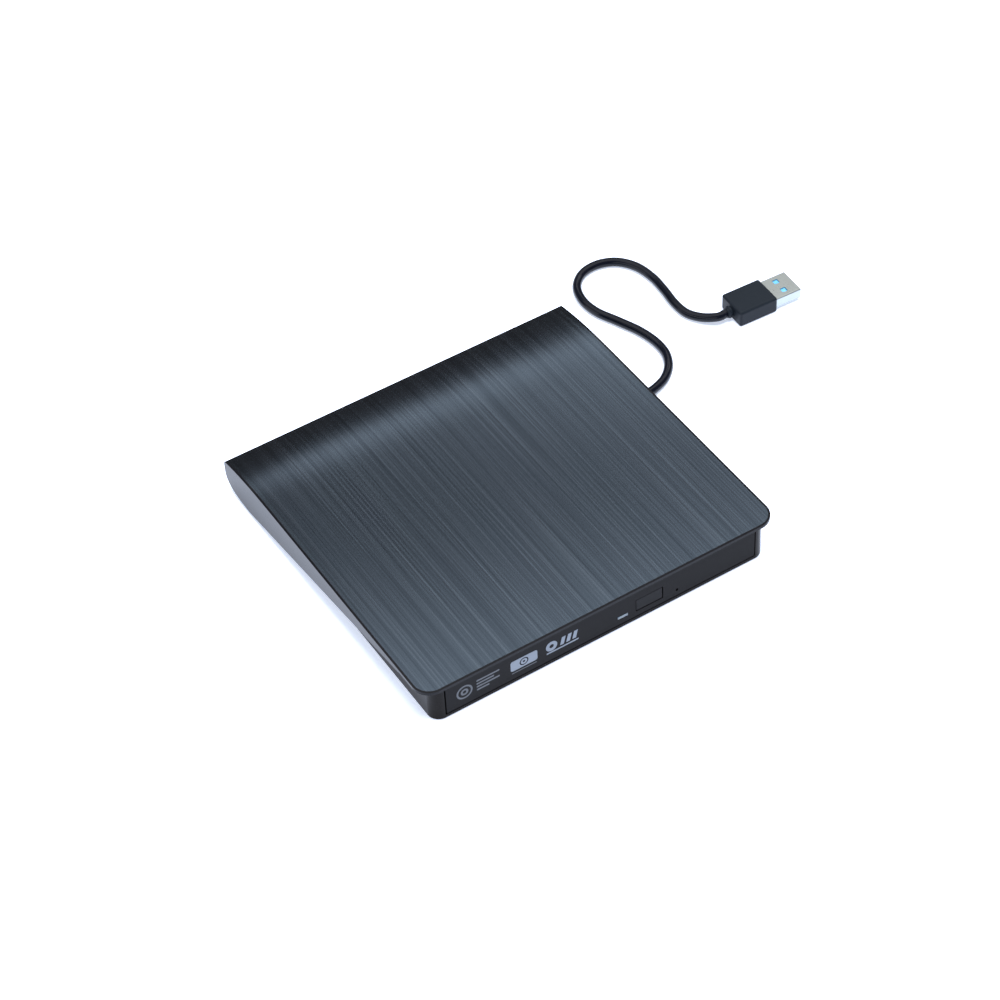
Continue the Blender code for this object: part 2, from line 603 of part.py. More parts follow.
def spindle(mechanism):
    rotor = [(0, 10.7), (7.6, 10.7), (7.6, 11.2), (14.0, 11.2), (14.0, 10.2), (11.4, 9.6),
             (11.4, 5.2), (0, 5.2)]
    turned("spindle_rotor", rotor, BRIGHT_STEEL, mechanism, steps=36)
    ring = add("disc_pad", round_mesh("disc_pad", 13.9, 0.6, sides=36), GROMMET_RUBBER,
               parent=mechanism, location=(0, 0, 11.8))
    cut_round(ring, (0, 0, 11.8), 9.6, 4, sides=36, parent=mechanism)
    cone = [(0, HUB_HIGH), (5.6, HUB_HIGH), (7.2, 12.6), (7.2, HUB_LOW), (0, HUB_LOW)]
    hub = turned("clamp_hub", cone, HUB_PLASTIC, mechanism, steps=36)
    for number in (1, 2, 3):
        a = math.radians(120 * number)
        seat = BALL_CIRCLE + 0.35
        cut_round(hub, (seat * math.cos(a), seat * math.sin(a), BALL_Z), 1.5, 1.9, sides=16,
                  parent=mechanism)
        ball = bpy.data.meshes.new(f"clamp_ball_{number}")
        work = bmesh.new()
        bmesh.ops.create_uvsphere(work, u_segments=12, v_segments=8, radius=BALL_RADIUS * MM)
        work.to_mesh(ball)
        work.free()
        ball.shade_smooth()
        add(ball.name, ball, BRIGHT_STEEL, parent=mechanism,
            location=(BALL_CIRCLE * math.cos(a), BALL_CIRCLE * math.sin(a), BALL_Z))


def pickup(mechanism):
    sled = box("pickup_sled", (SLED_U - SLED_HALF, SLED_U + SLED_HALF), (-15, 15.4),
               (SLED_LOW, SLED_HIGH), SLED_ZINC, mechanism)
    cut_round(sled, (SLED_U, ROD_V, ROD_Z), ROD_RADIUS + GAP, 20, "X", 16, mechanism)
    cut_box(sled, (SLED_U - 8, SLED_U + 8), (-16, -ROD_V + ROD_RADIUS + GAP),
            (ROD_Z - ROD_RADIUS - GAP, ROD_Z + ROD_RADIUS + GAP), mechanism)
    join_box(sled, (SLED_U + 2, SLED_U + 5), (15, SCREW_V - LEAD_SCREW_RADIUS - GAP), (5.6, 6.6),
             mechanism)
    for end in (-1, 1):
        corner = sorted((SLED_U + end * 3.5, SLED_U + end * 8))
        cut_box(sled, corner, (-17, -8.5), (SLED_LOW - 1, SLED_HIGH + 1), mechanism)
    carrier = box("lens_carrier", (SLED_U - 4, SLED_U + 4), (-5, 5), (7.9, 9.2), HUB_PLASTIC,
                  mechanism)
    cut_round(carrier, (SLED_U, 0, 8.5), 2.5, 4, sides=24, parent=mechanism)
    dome = [(0, 9.75), (1.2, 9.55), (1.9, 9.2), (2.2, 8.7), (2.2, LENS_SEAT), (0, LENS_SEAT)]
    turned("objective_lens", dome, LENS_GLASS, mechanism, (SLED_U, 0, 0), 24)


# ------------------------------------------------------------------ cord and plug
def cord_route():
    """Plan points of the cord from the gland to the plug, chosen along its curve."""
    tail = Vector(PLUG_TAIL)
    heading = Vector((math.cos(PLUG_ANGLE), math.sin(PLUG_ANGLE)))
    last = tail - heading * (PLUG_COLLAR + GAP)
    before = last - heading * 3.2
    lift = PLUG_THICKNESS / 2
    rest = CORD_RADIUS + 0.02
    return [(GLAND_END_X + GAP, 20.3, CORD_EXIT_Z - 0.15), (83.6, 21.5, 2.2), (89.6, 24.1, rest),
            (94.8, 28.8, rest), (98.0, 35.4, rest), (98.5, 43.0, rest), (96.8, 51.6, rest),
            (93.0, 61.2, rest), (89.5, 69.6, rest), (88.7, 78.0, rest), (91.2, 86.0, rest),
            (97.2, 91.3, rest), (104.8, 92.4, rest), (112.0, 89.4, rest), (116.8, 82.6, rest),
            (118.4, 73.6, rest), (117.9, 64.8, rest), (116.9, 56.6, rest), (117.4, 49.2, rest),
            (120.6, 43.3, 2.3), (before.x, before.y, lift - 0.25), (last.x, last.y, lift)]


def smooth_points(route, spacing):
    """Catmull-Rom points through the route, about spacing apart."""
    knots = [Vector(p) for p in route]
    first = knots[0] * 2 - knots[1]
    last = knots[-1] * 2 - knots[-2]
    knots = [first, *knots, last]
    points = []
    for a, b, c, d in zip(knots, knots[1:], knots[2:], knots[3:]):
        count = max(1, round((c - b).length / spacing))
        for i in range(count):
            t = i / count
            points.append(0.5 * (2 * b + (c - a) * t + (2 * a - 5 * b + 4 * c - d) * t * t
                                 + (3 * b - a - 3 * c + d) * t**3))
    points.append(knots[-2])
    return points


def usb_cord():
    curve = bpy.data.curves.new("usb_cord", "CURVE")
    curve.dimensions = "3D"
    curve.bevel_depth = CORD_RADIUS * MM
    curve.bevel_resolution = 2
    curve.use_fill_caps = True
    points = smooth_points(cord_route(), 4.0)
    line = curve.splines.new("POLY")
    line.points.add(len(points) - 1)
    for target, point in zip(line.points, points):
        target.co = (*(point * MM), 1)
    curve.materials.append(CORD_VINYL)
    cord = bpy.data.objects.new("usb_cord", curve)
    PARTS.objects.link(cord)


def strain_relief():
    flange = CASE_HALF + GAP
    start = BAY_HALF + 0.4
    end = GLAND_END_X
    profile = [(0, end), (CORD_RADIUS + 0.25, end), (CORD_RADIUS + 0.5, end - 5.4),
               (GLAND_FLANGE_RADIUS, flange + 1.5), (GLAND_FLANGE_RADIUS, flange),
               (GLAND_RADIUS, flange), (GLAND_RADIUS, start), (0, start)]
    relief = turned("cord_strain_relief", profile, CORD_VINYL, steps=20)
    relief.rotation_euler = (0, math.radians(90), 0)
    relief.location = Vector((0, CORD_EXIT_Y, CORD_EXIT_Z)) * MM


def usb_plug():
    plug = bpy.data.objects.new("plug_frame", None)
    plug.location = Vector((*PLUG_TAIL, PLUG_THICKNESS / 2)) * MM
    plug.rotation_euler = (0, 0, PLUG_ANGLE)
    PARTS.objects.link(plug)
    half = PLUG_WIDTH / 2
    body = box("plug_overmold", (0, PLUG_LENGTH), (-half, half),
               (-PLUG_THICKNESS / 2, PLUG_THICKNESS / 2), PLUG_VINYL, plug, 0.9)
    mesh = round_mesh("plug_collar", PLUG_COLLAR_RADIUS, PLUG_COLLAR + 1.0, "X", 16)
    boolean(body, mesh, "UNION", plug, (-PLUG_COLLAR / 2 + 0.5, 0, 0))
    wide = SHELL_WIDTH / 2
    thick = SHELL_THICKNESS / 2
    tail_wide = wide - SHELL_CRIMP
    tail_thick = thick - SHELL_CRIMP
    seat = PLUG_LENGTH - SHELL_SEAT
    cut_box(body, (seat, PLUG_LENGTH + 1), (-tail_wide - GAP, tail_wide + GAP),
            (-tail_thick - GAP, tail_thick + GAP), plug)
    mouth = PLUG_LENGTH + SHELL_OUT
    shell = box("plug_shell", (PLUG_LENGTH + GAP, mouth), (-wide, wide), (-thick, thick),
                PLUG_STEEL, plug, SHELL_WALL)
    join_box(shell, (seat + GAP, PLUG_LENGTH + 1), (-tail_wide, tail_wide),
             (-tail_thick, tail_thick), plug)
    back = PLUG_LENGTH + GAP + SHELL_BACK
    cut_box(shell, (back, mouth + 1), (-wide + SHELL_WALL, wide - SHELL_WALL),
            (-thick + SHELL_WALL, thick - SHELL_WALL), plug)
    middle = PLUG_LENGTH + SHELL_WINDOW_OUT
    half = SHELL_WINDOW / 2
    for v in (-SHELL_WINDOW_V, SHELL_WINDOW_V):
        cut_box(shell, (middle - half, middle + half), (v - half, v + half), (-5, 5), plug)
    box("plug_tongue", (back + GAP, mouth - 0.5), (-wide + TONGUE_INSET, wide - TONGUE_INSET),
        (0.1, thick - TONGUE_INSET), TONGUE_BLUE, plug)


top_cover()
lower_case()
feet_and_screws()
chassis()
boards()
rails()
mechanism_frame = mechanism_empty()
disc_tray(mechanism_frame)
tray_undercover()
tray_bezel()
tray_electrics()
eject_plunger()
traverse(mechanism_frame)
spindle(mechanism_frame)
pickup(mechanism_frame)
strain_relief()
usb_cord()
usb_plug()
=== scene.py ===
"""Looks of the external optical drive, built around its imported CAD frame.

Lengths are millimetres and become metres where meshes are made. Axes and origin are the frame's:
X is the width, the tray opens towards -Y, +Z is up, the origin is on the table.
"""
import math

import bmesh
import bpy
from mathutils import Matrix, Quaternion, Vector


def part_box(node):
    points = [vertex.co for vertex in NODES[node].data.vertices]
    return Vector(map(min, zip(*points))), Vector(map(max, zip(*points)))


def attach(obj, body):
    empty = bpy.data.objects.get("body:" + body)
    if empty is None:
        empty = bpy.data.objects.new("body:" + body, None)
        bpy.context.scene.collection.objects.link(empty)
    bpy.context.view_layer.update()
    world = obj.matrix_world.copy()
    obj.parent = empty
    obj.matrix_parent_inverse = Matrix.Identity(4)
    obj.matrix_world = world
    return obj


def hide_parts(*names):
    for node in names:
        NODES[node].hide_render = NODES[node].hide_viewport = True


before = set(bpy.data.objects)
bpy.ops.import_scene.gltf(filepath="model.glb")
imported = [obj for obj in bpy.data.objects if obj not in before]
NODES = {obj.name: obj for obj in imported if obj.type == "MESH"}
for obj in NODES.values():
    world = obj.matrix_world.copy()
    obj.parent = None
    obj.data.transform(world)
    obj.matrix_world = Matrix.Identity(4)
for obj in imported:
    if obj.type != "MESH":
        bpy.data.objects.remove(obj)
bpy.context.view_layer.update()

MM = 0.001
SMOOTH_ANGLE = math.radians(50)    # steeper edges stay sharp in shading
EDGE_ANGLE = math.radians(32.0)    # steeper edges are rounded
FLAT_ANGLE = math.radians(0.05)    # faces that turn less than this become one
SEAM_MERGE = 0.000001              # metres
EDGE_MERGE = 0.000002              # metres


def span(node):
    """A node's box in millimetres, as (low, high) along X, Y and Z."""
    low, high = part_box(node)
    return [(a / MM, b / MM) for a, b in zip(low, high)]


# ------------------------------------------------------------------ camera
CAMERA_LENS = 101.41
CAMERA_AZIMUTH = math.radians(-29.875)
CAMERA_ELEVATION = math.radians(46.03)
CAMERA_ROLL = math.radians(-3.553)
CAMERA_DISTANCE = 1021.2
CAMERA_TARGET = Vector((5.71, 7.50, 0.0))
CAMERA_SENSOR = 36.0
CAMERA_CLIP = (0.01, 20.0)         # metres


def camera():
    data = bpy.data.cameras.new("camera")
    data.lens = CAMERA_LENS
    data.sensor_width = CAMERA_SENSOR
    data.clip_start, data.clip_end = CAMERA_CLIP
    eye = bpy.data.objects.new("camera", data)
    bpy.context.scene.collection.objects.link(eye)
    level = math.cos(CAMERA_ELEVATION)
    back = Vector((math.sin(CAMERA_AZIMUTH) * level, -math.cos(CAMERA_AZIMUTH) * level,
                   math.sin(CAMERA_ELEVATION)))
    right = Vector((math.cos(CAMERA_AZIMUTH), math.sin(CAMERA_AZIMUTH), 0))
    up = back.cross(right)
    c = math.cos(CAMERA_ROLL)
    s = math.sin(CAMERA_ROLL)
    turn = Matrix((c * right + s * up, c * up - s * right, back)).transposed().to_4x4()
    eye.matrix_world = Matrix.Translation((CAMERA_TARGET + back * CAMERA_DISTANCE) * MM) @ turn
    bpy.context.scene.camera = eye


# ------------------------------------------------------------------ materials
BROAD_GRAIN = 0.06                 # soft patches to the millimetre


class Nodes:
    """A material's node tree, with short ways to add and join nodes."""

    def __init__(self, name):
        self.material = bpy.data.materials.new(name)
        self.material.use_nodes = True
        self.tree = self.material.node_tree
        self.shader = self.tree.nodes["Principled BSDF"]
        self.place = self.tree.nodes.new("ShaderNodeTexCoord").outputs["Object"]

    def link(self, source, target):
        self.tree.links.new(source, target)

    def noise(self, per_mm, detail=3.0, rough=0.55, offset=(0, 0, 0)):
        """Noise with per_mm features to the millimetre along X, Y and Z."""
        mapping = self.tree.nodes.new("ShaderNodeMapping")
        mapping.inputs["Scale"].default_value = [f / MM for f in per_mm]
        mapping.inputs["Location"].default_value = offset
        self.link(self.place, mapping.inputs["Vector"])
        noise = self.tree.nodes.new("ShaderNodeTexNoise")
        noise.inputs["Scale"].default_value = 1.0
        noise.inputs["Detail"].default_value = detail
        noise.inputs["Roughness"].default_value = rough
        self.link(mapping.outputs["Vector"], noise.inputs["Vector"])
        return noise.outputs["Fac"]

    def ramp(self, value, stops):
        """Colours or grey values read off a noise; stops are (position, value)."""
        node = self.tree.nodes.new("ShaderNodeValToRGB")
        elements = node.color_ramp.elements
        while len(elements) < len(stops):
            elements.new(0.5)
        for element, (position, tone) in zip(elements, stops):
            element.position = position
            element.color = (*tone, 1) if isinstance(tone, tuple) else (tone, tone, tone, 1)
        self.link(value, node.inputs["Fac"])
        return node.outputs["Color"]

    def scaled(self, value, low, high):
        """The value 0.25 to 0.75 of a noise, mapped to low to high."""
        node = self.tree.nodes.new("ShaderNodeMapRange")
        node.inputs["From Min"].default_value = 0.25
        node.inputs["From Max"].default_value = 0.75
        node.inputs["To Min"].default_value = low
        node.inputs["To Max"].default_value = high
        self.link(value, node.inputs["Value"])
        return node.outputs["Result"]

    def math(self, operation, a, b):
        node = self.tree.nodes.new("ShaderNodeMath")
        node.operation = operation
        for socket, value in zip(node.inputs, (a, b)):
            if isinstance(value, (int, float)):
                socket.default_value = value
            else:
                self.link(value, socket)
        return node.outputs["Value"]

    def bump(self, height, depth_mm):
        node = self.tree.nodes.new("ShaderNodeBump")
        node.inputs["Strength"].default_value = 1.0
        node.inputs["Distance"].default_value = depth_mm * MM
        self.link(height, node.inputs["Height"])
        self.link(node.outputs["Normal"], self.shader.inputs["Normal"])

    def settle(self, **values):
        """Sets the shader's own values and hands back the material."""
        names = {"metallic": "Metallic", "specular": "Specular IOR Level", "coat": "Coat Weight",
                 "transmission": "Transmission Weight", "subsurface": "Subsurface Weight"}
        for key, value in values.items():
            self.shader.inputs[names[key]].default_value = value
        return self.material


def grained(name, color, roughness, spread, grain, depth, variation, **values):
    """Moulded or cast material: grain features to the millimetre, their depth in millimetres."""
    nodes = Nodes(name)
    fine = nodes.noise(grain if isinstance(grain, tuple) else (grain,) * 3)
    broad = nodes.noise((BROAD_GRAIN,) * 3, 2.0)
    dark = tuple(c * (1 - variation) for c in color)
    light = tuple(c * (1 + variation) for c in color)
    mixed = nodes.math("ADD", nodes.math("MULTIPLY", fine, 0.5), nodes.math("MULTIPLY", broad, 0.5))
    nodes.link(nodes.ramp(mixed, [(0.3, dark), (0.7, light)]), nodes.shader.inputs["Base Color"])
    nodes.link(nodes.scaled(mixed, roughness - spread, roughness + spread),
               nodes.shader.inputs["Roughness"])
    nodes.bump(fine, depth)
    return nodes.settle(**values)


def brushed_film():
    """Dark brushed film: fine straight lines that run from front to back."""
    nodes = Nodes("cover_film_brushed")
    wide = nodes.noise((0.45, 0.0022, 0.0), 2.0, 0.5)
    lines = nodes.noise((1.35, 0.0045, 0.0), 2.0, 0.6, (3, 1, 0))
    hair = nodes.noise((2.8, 0.0120, 0.0), 2.0, 0.6, (8, 5, 0))
    blend = nodes.math("ADD", nodes.math("MULTIPLY", wide, 0.30),
                       nodes.math("ADD", nodes.math("MULTIPLY", lines, 0.40),
                                  nodes.math("MULTIPLY", hair, 0.30)))
    tones = [(0.36, (0.051, 0.068, 0.090)), (0.50, (0.077, 0.101, 0.131)),
             (0.64, (0.113, 0.144, 0.182))]
    nodes.link(nodes.ramp(blend, tones), nodes.shader.inputs["Base Color"])
    nodes.link(nodes.scaled(lines, 0.17, 0.23), nodes.shader.inputs["Roughness"])
    nodes.bump(nodes.math("ADD", lines, nodes.math("MULTIPLY", hair, 0.5)), 0.002)
    return nodes.settle(metallic=1.0)


def circuit_board():
    """Green mask with a fine pattern of paler tracks."""
    nodes = Nodes("circuit_board")
    brick = nodes.tree.nodes.new("ShaderNodeTexBrick")
    brick.inputs["Scale"].default_value = 0.35 / MM
    brick.inputs["Mortar Size"].default_value = 0.035
    brick.inputs["Color1"].default_value = (0.018, 0.105, 0.050, 1)
    brick.inputs["Color2"].default_value = (0.024, 0.130, 0.062, 1)
    brick.inputs["Mortar"].default_value = (0.050, 0.230, 0.110, 1)
    nodes.link(nodes.place, brick.inputs["Vector"])
    nodes.link(brick.outputs["Color"], nodes.shader.inputs["Base Color"])
    fine = nodes.noise((2.5, 2.5, 2.5))
    nodes.link(nodes.scaled(fine, 0.28, 0.42), nodes.shader.inputs["Roughness"])
    nodes.bump(brick.outputs["Fac"], 0.02)
    return nodes.settle(coat=0.3)


def flex_film():
    """Amber film over parallel copper tracks that run along the ribbon."""
    nodes = Nodes("flex_film")
    tracks = nodes.noise((2.2, 0.0, 0.0), 0.0)
    tones = [(0.45, (0.34, 0.13, 0.02)), (0.55, (0.62, 0.30, 0.06))]
    nodes.link(nodes.ramp(tracks, tones), nodes.shader.inputs["Base Color"])
    nodes.link(nodes.scaled(tracks, 0.25, 0.38), nodes.shader.inputs["Roughness"])
    nodes.bump(tracks, 0.01)
    return nodes.settle(specular=0.6)


def zinc_sheet():
    """Zinc-plated sheet, with its faint crystal pattern."""
    nodes = Nodes("zinc_sheet")
    crystals = nodes.tree.nodes.new("ShaderNodeTexVoronoi")
    crystals.inputs["Scale"].default_value = 0.30 / MM
    nodes.link(nodes.place, crystals.inputs["Vector"])
    tones = [(0.0, (0.46, 0.47, 0.49)), (1.0, (0.62, 0.63, 0.65))]
    nodes.link(nodes.ramp(crystals.outputs["Color"], tones), nodes.shader.inputs["Base Color"])
    fine = nodes.noise((1.5, 1.5, 1.5))
    nodes.link(nodes.scaled(fine, 0.30, 0.42), nodes.shader.inputs["Roughness"])
    nodes.bump(fine, 0.004)
    return nodes.settle(metallic=1.0)


FILM = brushed_film()
COVER = grained("cover_gloss", (0.0060, 0.0062, 0.0080), 0.13, 0.03, 1.2, 0.0006, 0.15, specular=0.11)
CASE = grained("case_gloss", (0.0055, 0.0042, 0.0036), 0.15, 0.03, 1.2, 0.0008, 0.15, specular=0.08)
BEZEL = grained("bezel_satin", (0.0070, 0.0066, 0.0072), 0.40, 0.05, 5.0, 0.006, 0.12, specular=0.06)
BUTTON = grained("button_satin", (0.0070, 0.0070, 0.0080), 0.34, 0.04, 5.0, 0.004, 0.12, specular=0.075)
INK = grained("print_pale", (0.21, 0.245, 0.295), 0.55, 0.05, 6.0, 0.002, 0.08, specular=0.3)
INK_DIM = grained("print_dim", (0.095, 0.105, 0.120), 0.55, 0.05, 6.0, 0.002, 0.15, specular=0.3)
LIGHT_PIPE = grained("light_pipe", (0.20, 0.215, 0.24), 0.30, 0.05, 3.0, 0.002, 0.06, subsurface=0.3)
FOOT_RUBBER = grained("foot_rubber", (0.014, 0.014, 0.015), 0.80, 0.08, 3.0, 0.012, 0.15)
CORD_VINYL = grained("cord_vinyl", (0.0030, 0.0042, 0.0085), 0.15, 0.03, 1.5, 0.0012, 0.15,
                     specular=0.20)
PLUG_VINYL = grained("plug_vinyl", (0.0088, 0.0125, 0.0180), 0.42, 0.05, 4.0, 0.006, 0.10,
                     specular=0.13)
NICKEL = grained("plug_nickel", (0.43, 0.47, 0.465), 0.30, 0.05, (4.0, 0.5, 4.0), 0.0015, 0.05,
                 metallic=1.0)
INSULATOR = grained("plug_insulator", (0.130, 0.430, 0.720), 0.38, 0.05, 4.0, 0.003, 0.06)
GOLD = grained("gold_contacts", (0.83, 0.60, 0.26), 0.25, 0.05, (6.0, 0.8, 6.0), 0.001, 0.05,
               metallic=1.0)
SCREW_BLACK = grained("screw_black", (0.085, 0.085, 0.090), 0.36, 0.06, 5.0, 0.004, 0.15, metallic=1.0)
BRIGHT_STEEL = grained("ground_steel", (0.66, 0.66, 0.67), 0.20, 0.05, (5.0, 5.0, 1.0), 0.001, 0.05,
                       metallic=1.0)
TRAY = grained("tray_plastic", (0.0125, 0.0130, 0.0145), 0.46, 0.06, 4.0, 0.008, 0.12, specular=0.42)
HUB = grained("hub_plastic", (0.016, 0.016, 0.018), 0.34, 0.05, 3.0, 0.003, 0.12)
DIE_CAST = grained("die_cast", (0.40, 0.41, 0.43), 0.46, 0.08, 2.0, 0.012, 0.12, metallic=1.0)
GROMMET = grained("grommet_rubber", (0.016, 0.016, 0.018), 0.85, 0.06, 3.0, 0.010, 0.12)
EPOXY = grained("chip_epoxy", (0.012, 0.012, 0.013), 0.52, 0.08, 6.0, 0.006, 0.15)
CERAMIC = grained("capacitor_ceramic", (0.30, 0.21, 0.13), 0.45, 0.05, 4.0, 0.003, 0.15)
LENS = grained("lens_glass", (0.55, 0.62, 0.90), 0.04, 0.01, 1.0, 0.0002, 0.04, transmission=0.75,
               coat=1.0)
ZINC = zinc_sheet()
BOARD = circuit_board()
FLEX = flex_film()


# ------------------------------------------------------------------ mesh builders
def object_of(mesh, name):
    made = bpy.data.objects.new(name, mesh)
    bpy.context.scene.collection.objects.link(made)
    return made


def arc(center, radius, start, end, steps):
    turn = [math.radians(start + (end - start) * i / steps) for i in range(steps + 1)]
    return [(center[0] + radius * math.cos(a), center[1] + radius * math.sin(a)) for a in turn]


def circle(center, radius, steps=48):
    return arc(center, radius, 0, 360, steps)[:-1]


def rounded_rectangle(x, y, front_radius, rear_radius=None, steps=10):
    f = front_radius
    r = front_radius if rear_radius is None else rear_radius
    return (arc((x[0] + f, y[0] + f), f, 180, 270, steps) + arc((x[1] - f, y[0] + f), f, 270, 360, steps)
            + arc((x[1] - r, y[1] - r), r, 0, 90, steps) + arc((x[0] + r, y[1] - r), r, 90, 180, steps))


def prism(name, outline, low, high, axis="Z"):
    """A flat outline drawn out along an axis; the outline's points lie in the other two."""
    place = {"X": lambda a, b, c: (c, a, b), "Y": lambda a, b, c: (a, c, b),
             "Z": lambda a, b, c: (a, b, c)}[axis]
    mesh = bpy.data.meshes.new(name)
    work = bmesh.new()
    base = work.faces.new([work.verts.new(Vector(place(a, b, low)) * MM) for a, b in outline])
    lifted = bmesh.ops.extrude_face_region(work, geom=[base])["geom"]
    bmesh.ops.translate(work, vec=Vector(place(0, 0, high - low)) * MM,
                        verts=[g for g in lifted if isinstance(g, bmesh.types.BMVert)])
    bmesh.ops.recalc_face_normals(work, faces=work.faces)
    work.to_mesh(mesh)
    work.free()
    return object_of(mesh, name)


def block(name, x, y, z):
    return prism(name, [(x[0], y[0]), (x[1], y[0]), (x[1], y[1]), (x[0], y[1])], z[0], z[1])


def turned(name, profile, axis="Z", center=(0, 0, 0), steps=64):
    """A body turned about an axis through center from (radius, height) points."""
    mesh = bpy.data.meshes.new(name)
    work = bmesh.new()
    line = [work.verts.new((r * MM, 0, h * MM)) for r, h in profile]
    edges = [work.edges.new(pair) for pair in zip(line, line[1:])]
    bmesh.ops.spin(work, geom=line + edges, cent=(0, 0, 0), axis=(0, 0, 1), angle=2 * math.pi,
                   steps=steps)
    bmesh.ops.remove_doubles(work, verts=work.verts, dist=SEAM_MERGE)
    bmesh.ops.recalc_face_normals(work, faces=work.faces)
    work.to_mesh(mesh)
    work.free()
    turn = {"X": Matrix.Rotation(math.radians(90), 4, "Y"),
            "Y": Matrix.Rotation(math.radians(-90), 4, "X"), "Z": Matrix.Identity(4)}[axis]
    mesh.transform(Matrix.Translation(Vector(center) * MM) @ turn)
    return object_of(mesh, name)


def softened(points, radius, steps=4):
    """A turned profile whose corners are rounded with a small radius."""
    out = [points[0]]
    for before, here, after in zip(points, points[1:], points[2:]):
        corner = Vector(here)
        back = Vector(before) - corner
        ahead = Vector(after) - corner
        reach = min(radius, back.length / 2, ahead.length / 2)
        start = corner + back.normalized() * reach
        end = corner + ahead.normalized() * reach
        for i in range(steps + 1):
            t = i / steps
            out.append(tuple((1 - t)**2 * start + 2 * t * (1 - t) * corner + t * t * end))
    return [*out, points[-1]]


def shape(piece, *tools, operation="DIFFERENCE"):
    """Cuts the tools from a piece, or joins them to it, and removes them."""
    for tool in tools:
        step = piece.modifiers.new(tool.name, "BOOLEAN")
        step.object = tool
        step.operation = operation
        step.solver = "EXACT"
    apply(piece)
    for tool in tools:
        bpy.data.objects.remove(tool)
    return piece


def apply(piece):
    """Writes a piece's modifiers into its mesh."""
    bpy.context.view_layer.update()
    seen = piece.evaluated_get(bpy.context.evaluated_depsgraph_get())
    mesh = bpy.data.meshes.new_from_object(seen)
    piece.modifiers.clear()
    piece.data = mesh
    return piece


def rounded(piece, width, segments=3):
    """Merges a piece's flat faces, then rounds its edges. A width of 0 leaves them sharp."""
    work = bmesh.new()
    work.from_mesh(piece.data)
    bmesh.ops.remove_doubles(work, verts=work.verts, dist=EDGE_MERGE)
    bmesh.ops.dissolve_limit(work, angle_limit=FLAT_ANGLE, verts=work.verts, edges=work.edges)
    work.to_mesh(piece.data)
    work.free()
    if not width:
        return piece
    bevel = piece.modifiers.new("rounded_edges", "BEVEL")
    bevel.width = width * MM
    bevel.segments = segments
    bevel.limit_method = "ANGLE"
    bevel.angle_limit = EDGE_ANGLE
    return apply(piece)


def rounded_by(piece, width_at, segments):
    """Rounds each sharp edge by width_at(its two faces' normals), in millimetres."""
    rounded(piece, 0.0)
    work = bmesh.new()
    work.from_mesh(piece.data)
    widths = [0.0] * len(work.edges)
    for edge in work.edges:
        if len(edge.link_faces) == 2 and edge.calc_face_angle() > EDGE_ANGLE:
            widths[edge.index] = width_at(*(face.normal for face in edge.link_faces))
    work.free()
    widest = max(widths)
    weights = piece.data.attributes.new("bevel_weight_edge", "FLOAT", "EDGE")
    weights.data.foreach_set("value", [width / widest for width in widths])
    bevel = piece.modifiers.new("rounded_edges", "BEVEL")
    bevel.width = widest * MM
    bevel.segments = segments
    bevel.limit_method = "WEIGHT"
    return apply(piece)


def finished(piece, surface, body, slot, *nodes):
    """Shades a piece, gives it its material, ties it to its body, and hides the CAD nodes it stands for."""
    piece.data.shade_smooth()
    piece.data.set_sharp_from_angle(angle=SMOOTH_ANGLE)
    weighted = piece.modifiers.new("flat_faces", "WEIGHTED_NORMAL")
    weighted.keep_sharp = True
    weighted.weight = 100
    apply(piece)
    piece.data.materials.clear()
    piece.data.materials.append(surface)
    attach(piece, body)
    if nodes:
        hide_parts(*nodes)
    return piece


def joined(name, pieces):
    """Several separate bodies as one object."""
    work = bmesh.new()
    for piece in pieces:
        work.from_mesh(piece.data)
        bpy.data.objects.remove(piece)
    mesh = bpy.data.meshes.new(name)
    work.to_mesh(mesh)
    work.free()
    return object_of(mesh, name)


# ------------------------------------------------------------------ enclosure
(COVER_LEFT, COVER_RIGHT), (COVER_FRONT, COVER_REAR), (COVER_LOW, COVER_TOP) = span("top_cover")
(CASE_LEFT, CASE_RIGHT), (CASE_FRONT, CASE_REAR), (CASE_LOW, CASE_TOP) = span("lower_case")
PLATE = 1.3
COVER_WALL = 1.5
COVER_CORNER = 7.0
COVER_EDGE = 0.75                  # rounding of the cover's top edge
COVER_LOWER_EDGE = 0.25
COVER_EDGE_SEGMENTS = 5
FILM_INSET = 0.8                   # rim of the cover left bare round the film
FILM_THICKNESS = 0.10
ROLL_START = 30.0
ROLL_END = 68.6
ROLL_DROP = 2.7
NOSE_HEIGHT = 10.5
NOSE_UPPER_STEPS = 12              # points above the rearmost line
NOSE_LOWER_STEPS = 22              # points below it
WING_LOW_Y = 53.0
WING_FRONT_Y = -54.0
CASE_CORNER = 4.5
CASE_FLOOR = 1.9
BAY_HALF = 64.2
SCREW_X = 66.2
SCREW_Y = (-46.0, 46.0)
SCREW_HOLE_RADIUS = 1.0
SCREW_SEAT_RADIUS = 2.0
SCREW_SEAT_TOP = 1.85
POST_LOW = 9.0
POST_RADIUS = 1.65
POST_BORE = 1.0
FOOT_X = 54.0
FOOT_Y = (-54.0, 44.0)
FOOT_SEAT_RADIUS = 4.9
FOOT_SEAT_TOP = 1.2
GLAND_HOLE_RADIUS = 2.1
LABEL_X = (-30, 30)
LABEL_Y = (-24, 14)
LABEL_CORNER = 2.0
LABEL_DEPTH = 0.2
GAP = 0.3                          # between neighbouring pieces


def top_line(lift, rear, steps=30):
    """The cover's top line: flat, then rolling down towards the rear."""
    line = []
    for i in range(steps + 1):
        y = ROLL_START + (rear - ROLL_START) * i / steps
        line.append((y, COVER_TOP + lift - ROLL_DROP * ((y - ROLL_START) / (ROLL_END - ROLL_START))**3))
    return line


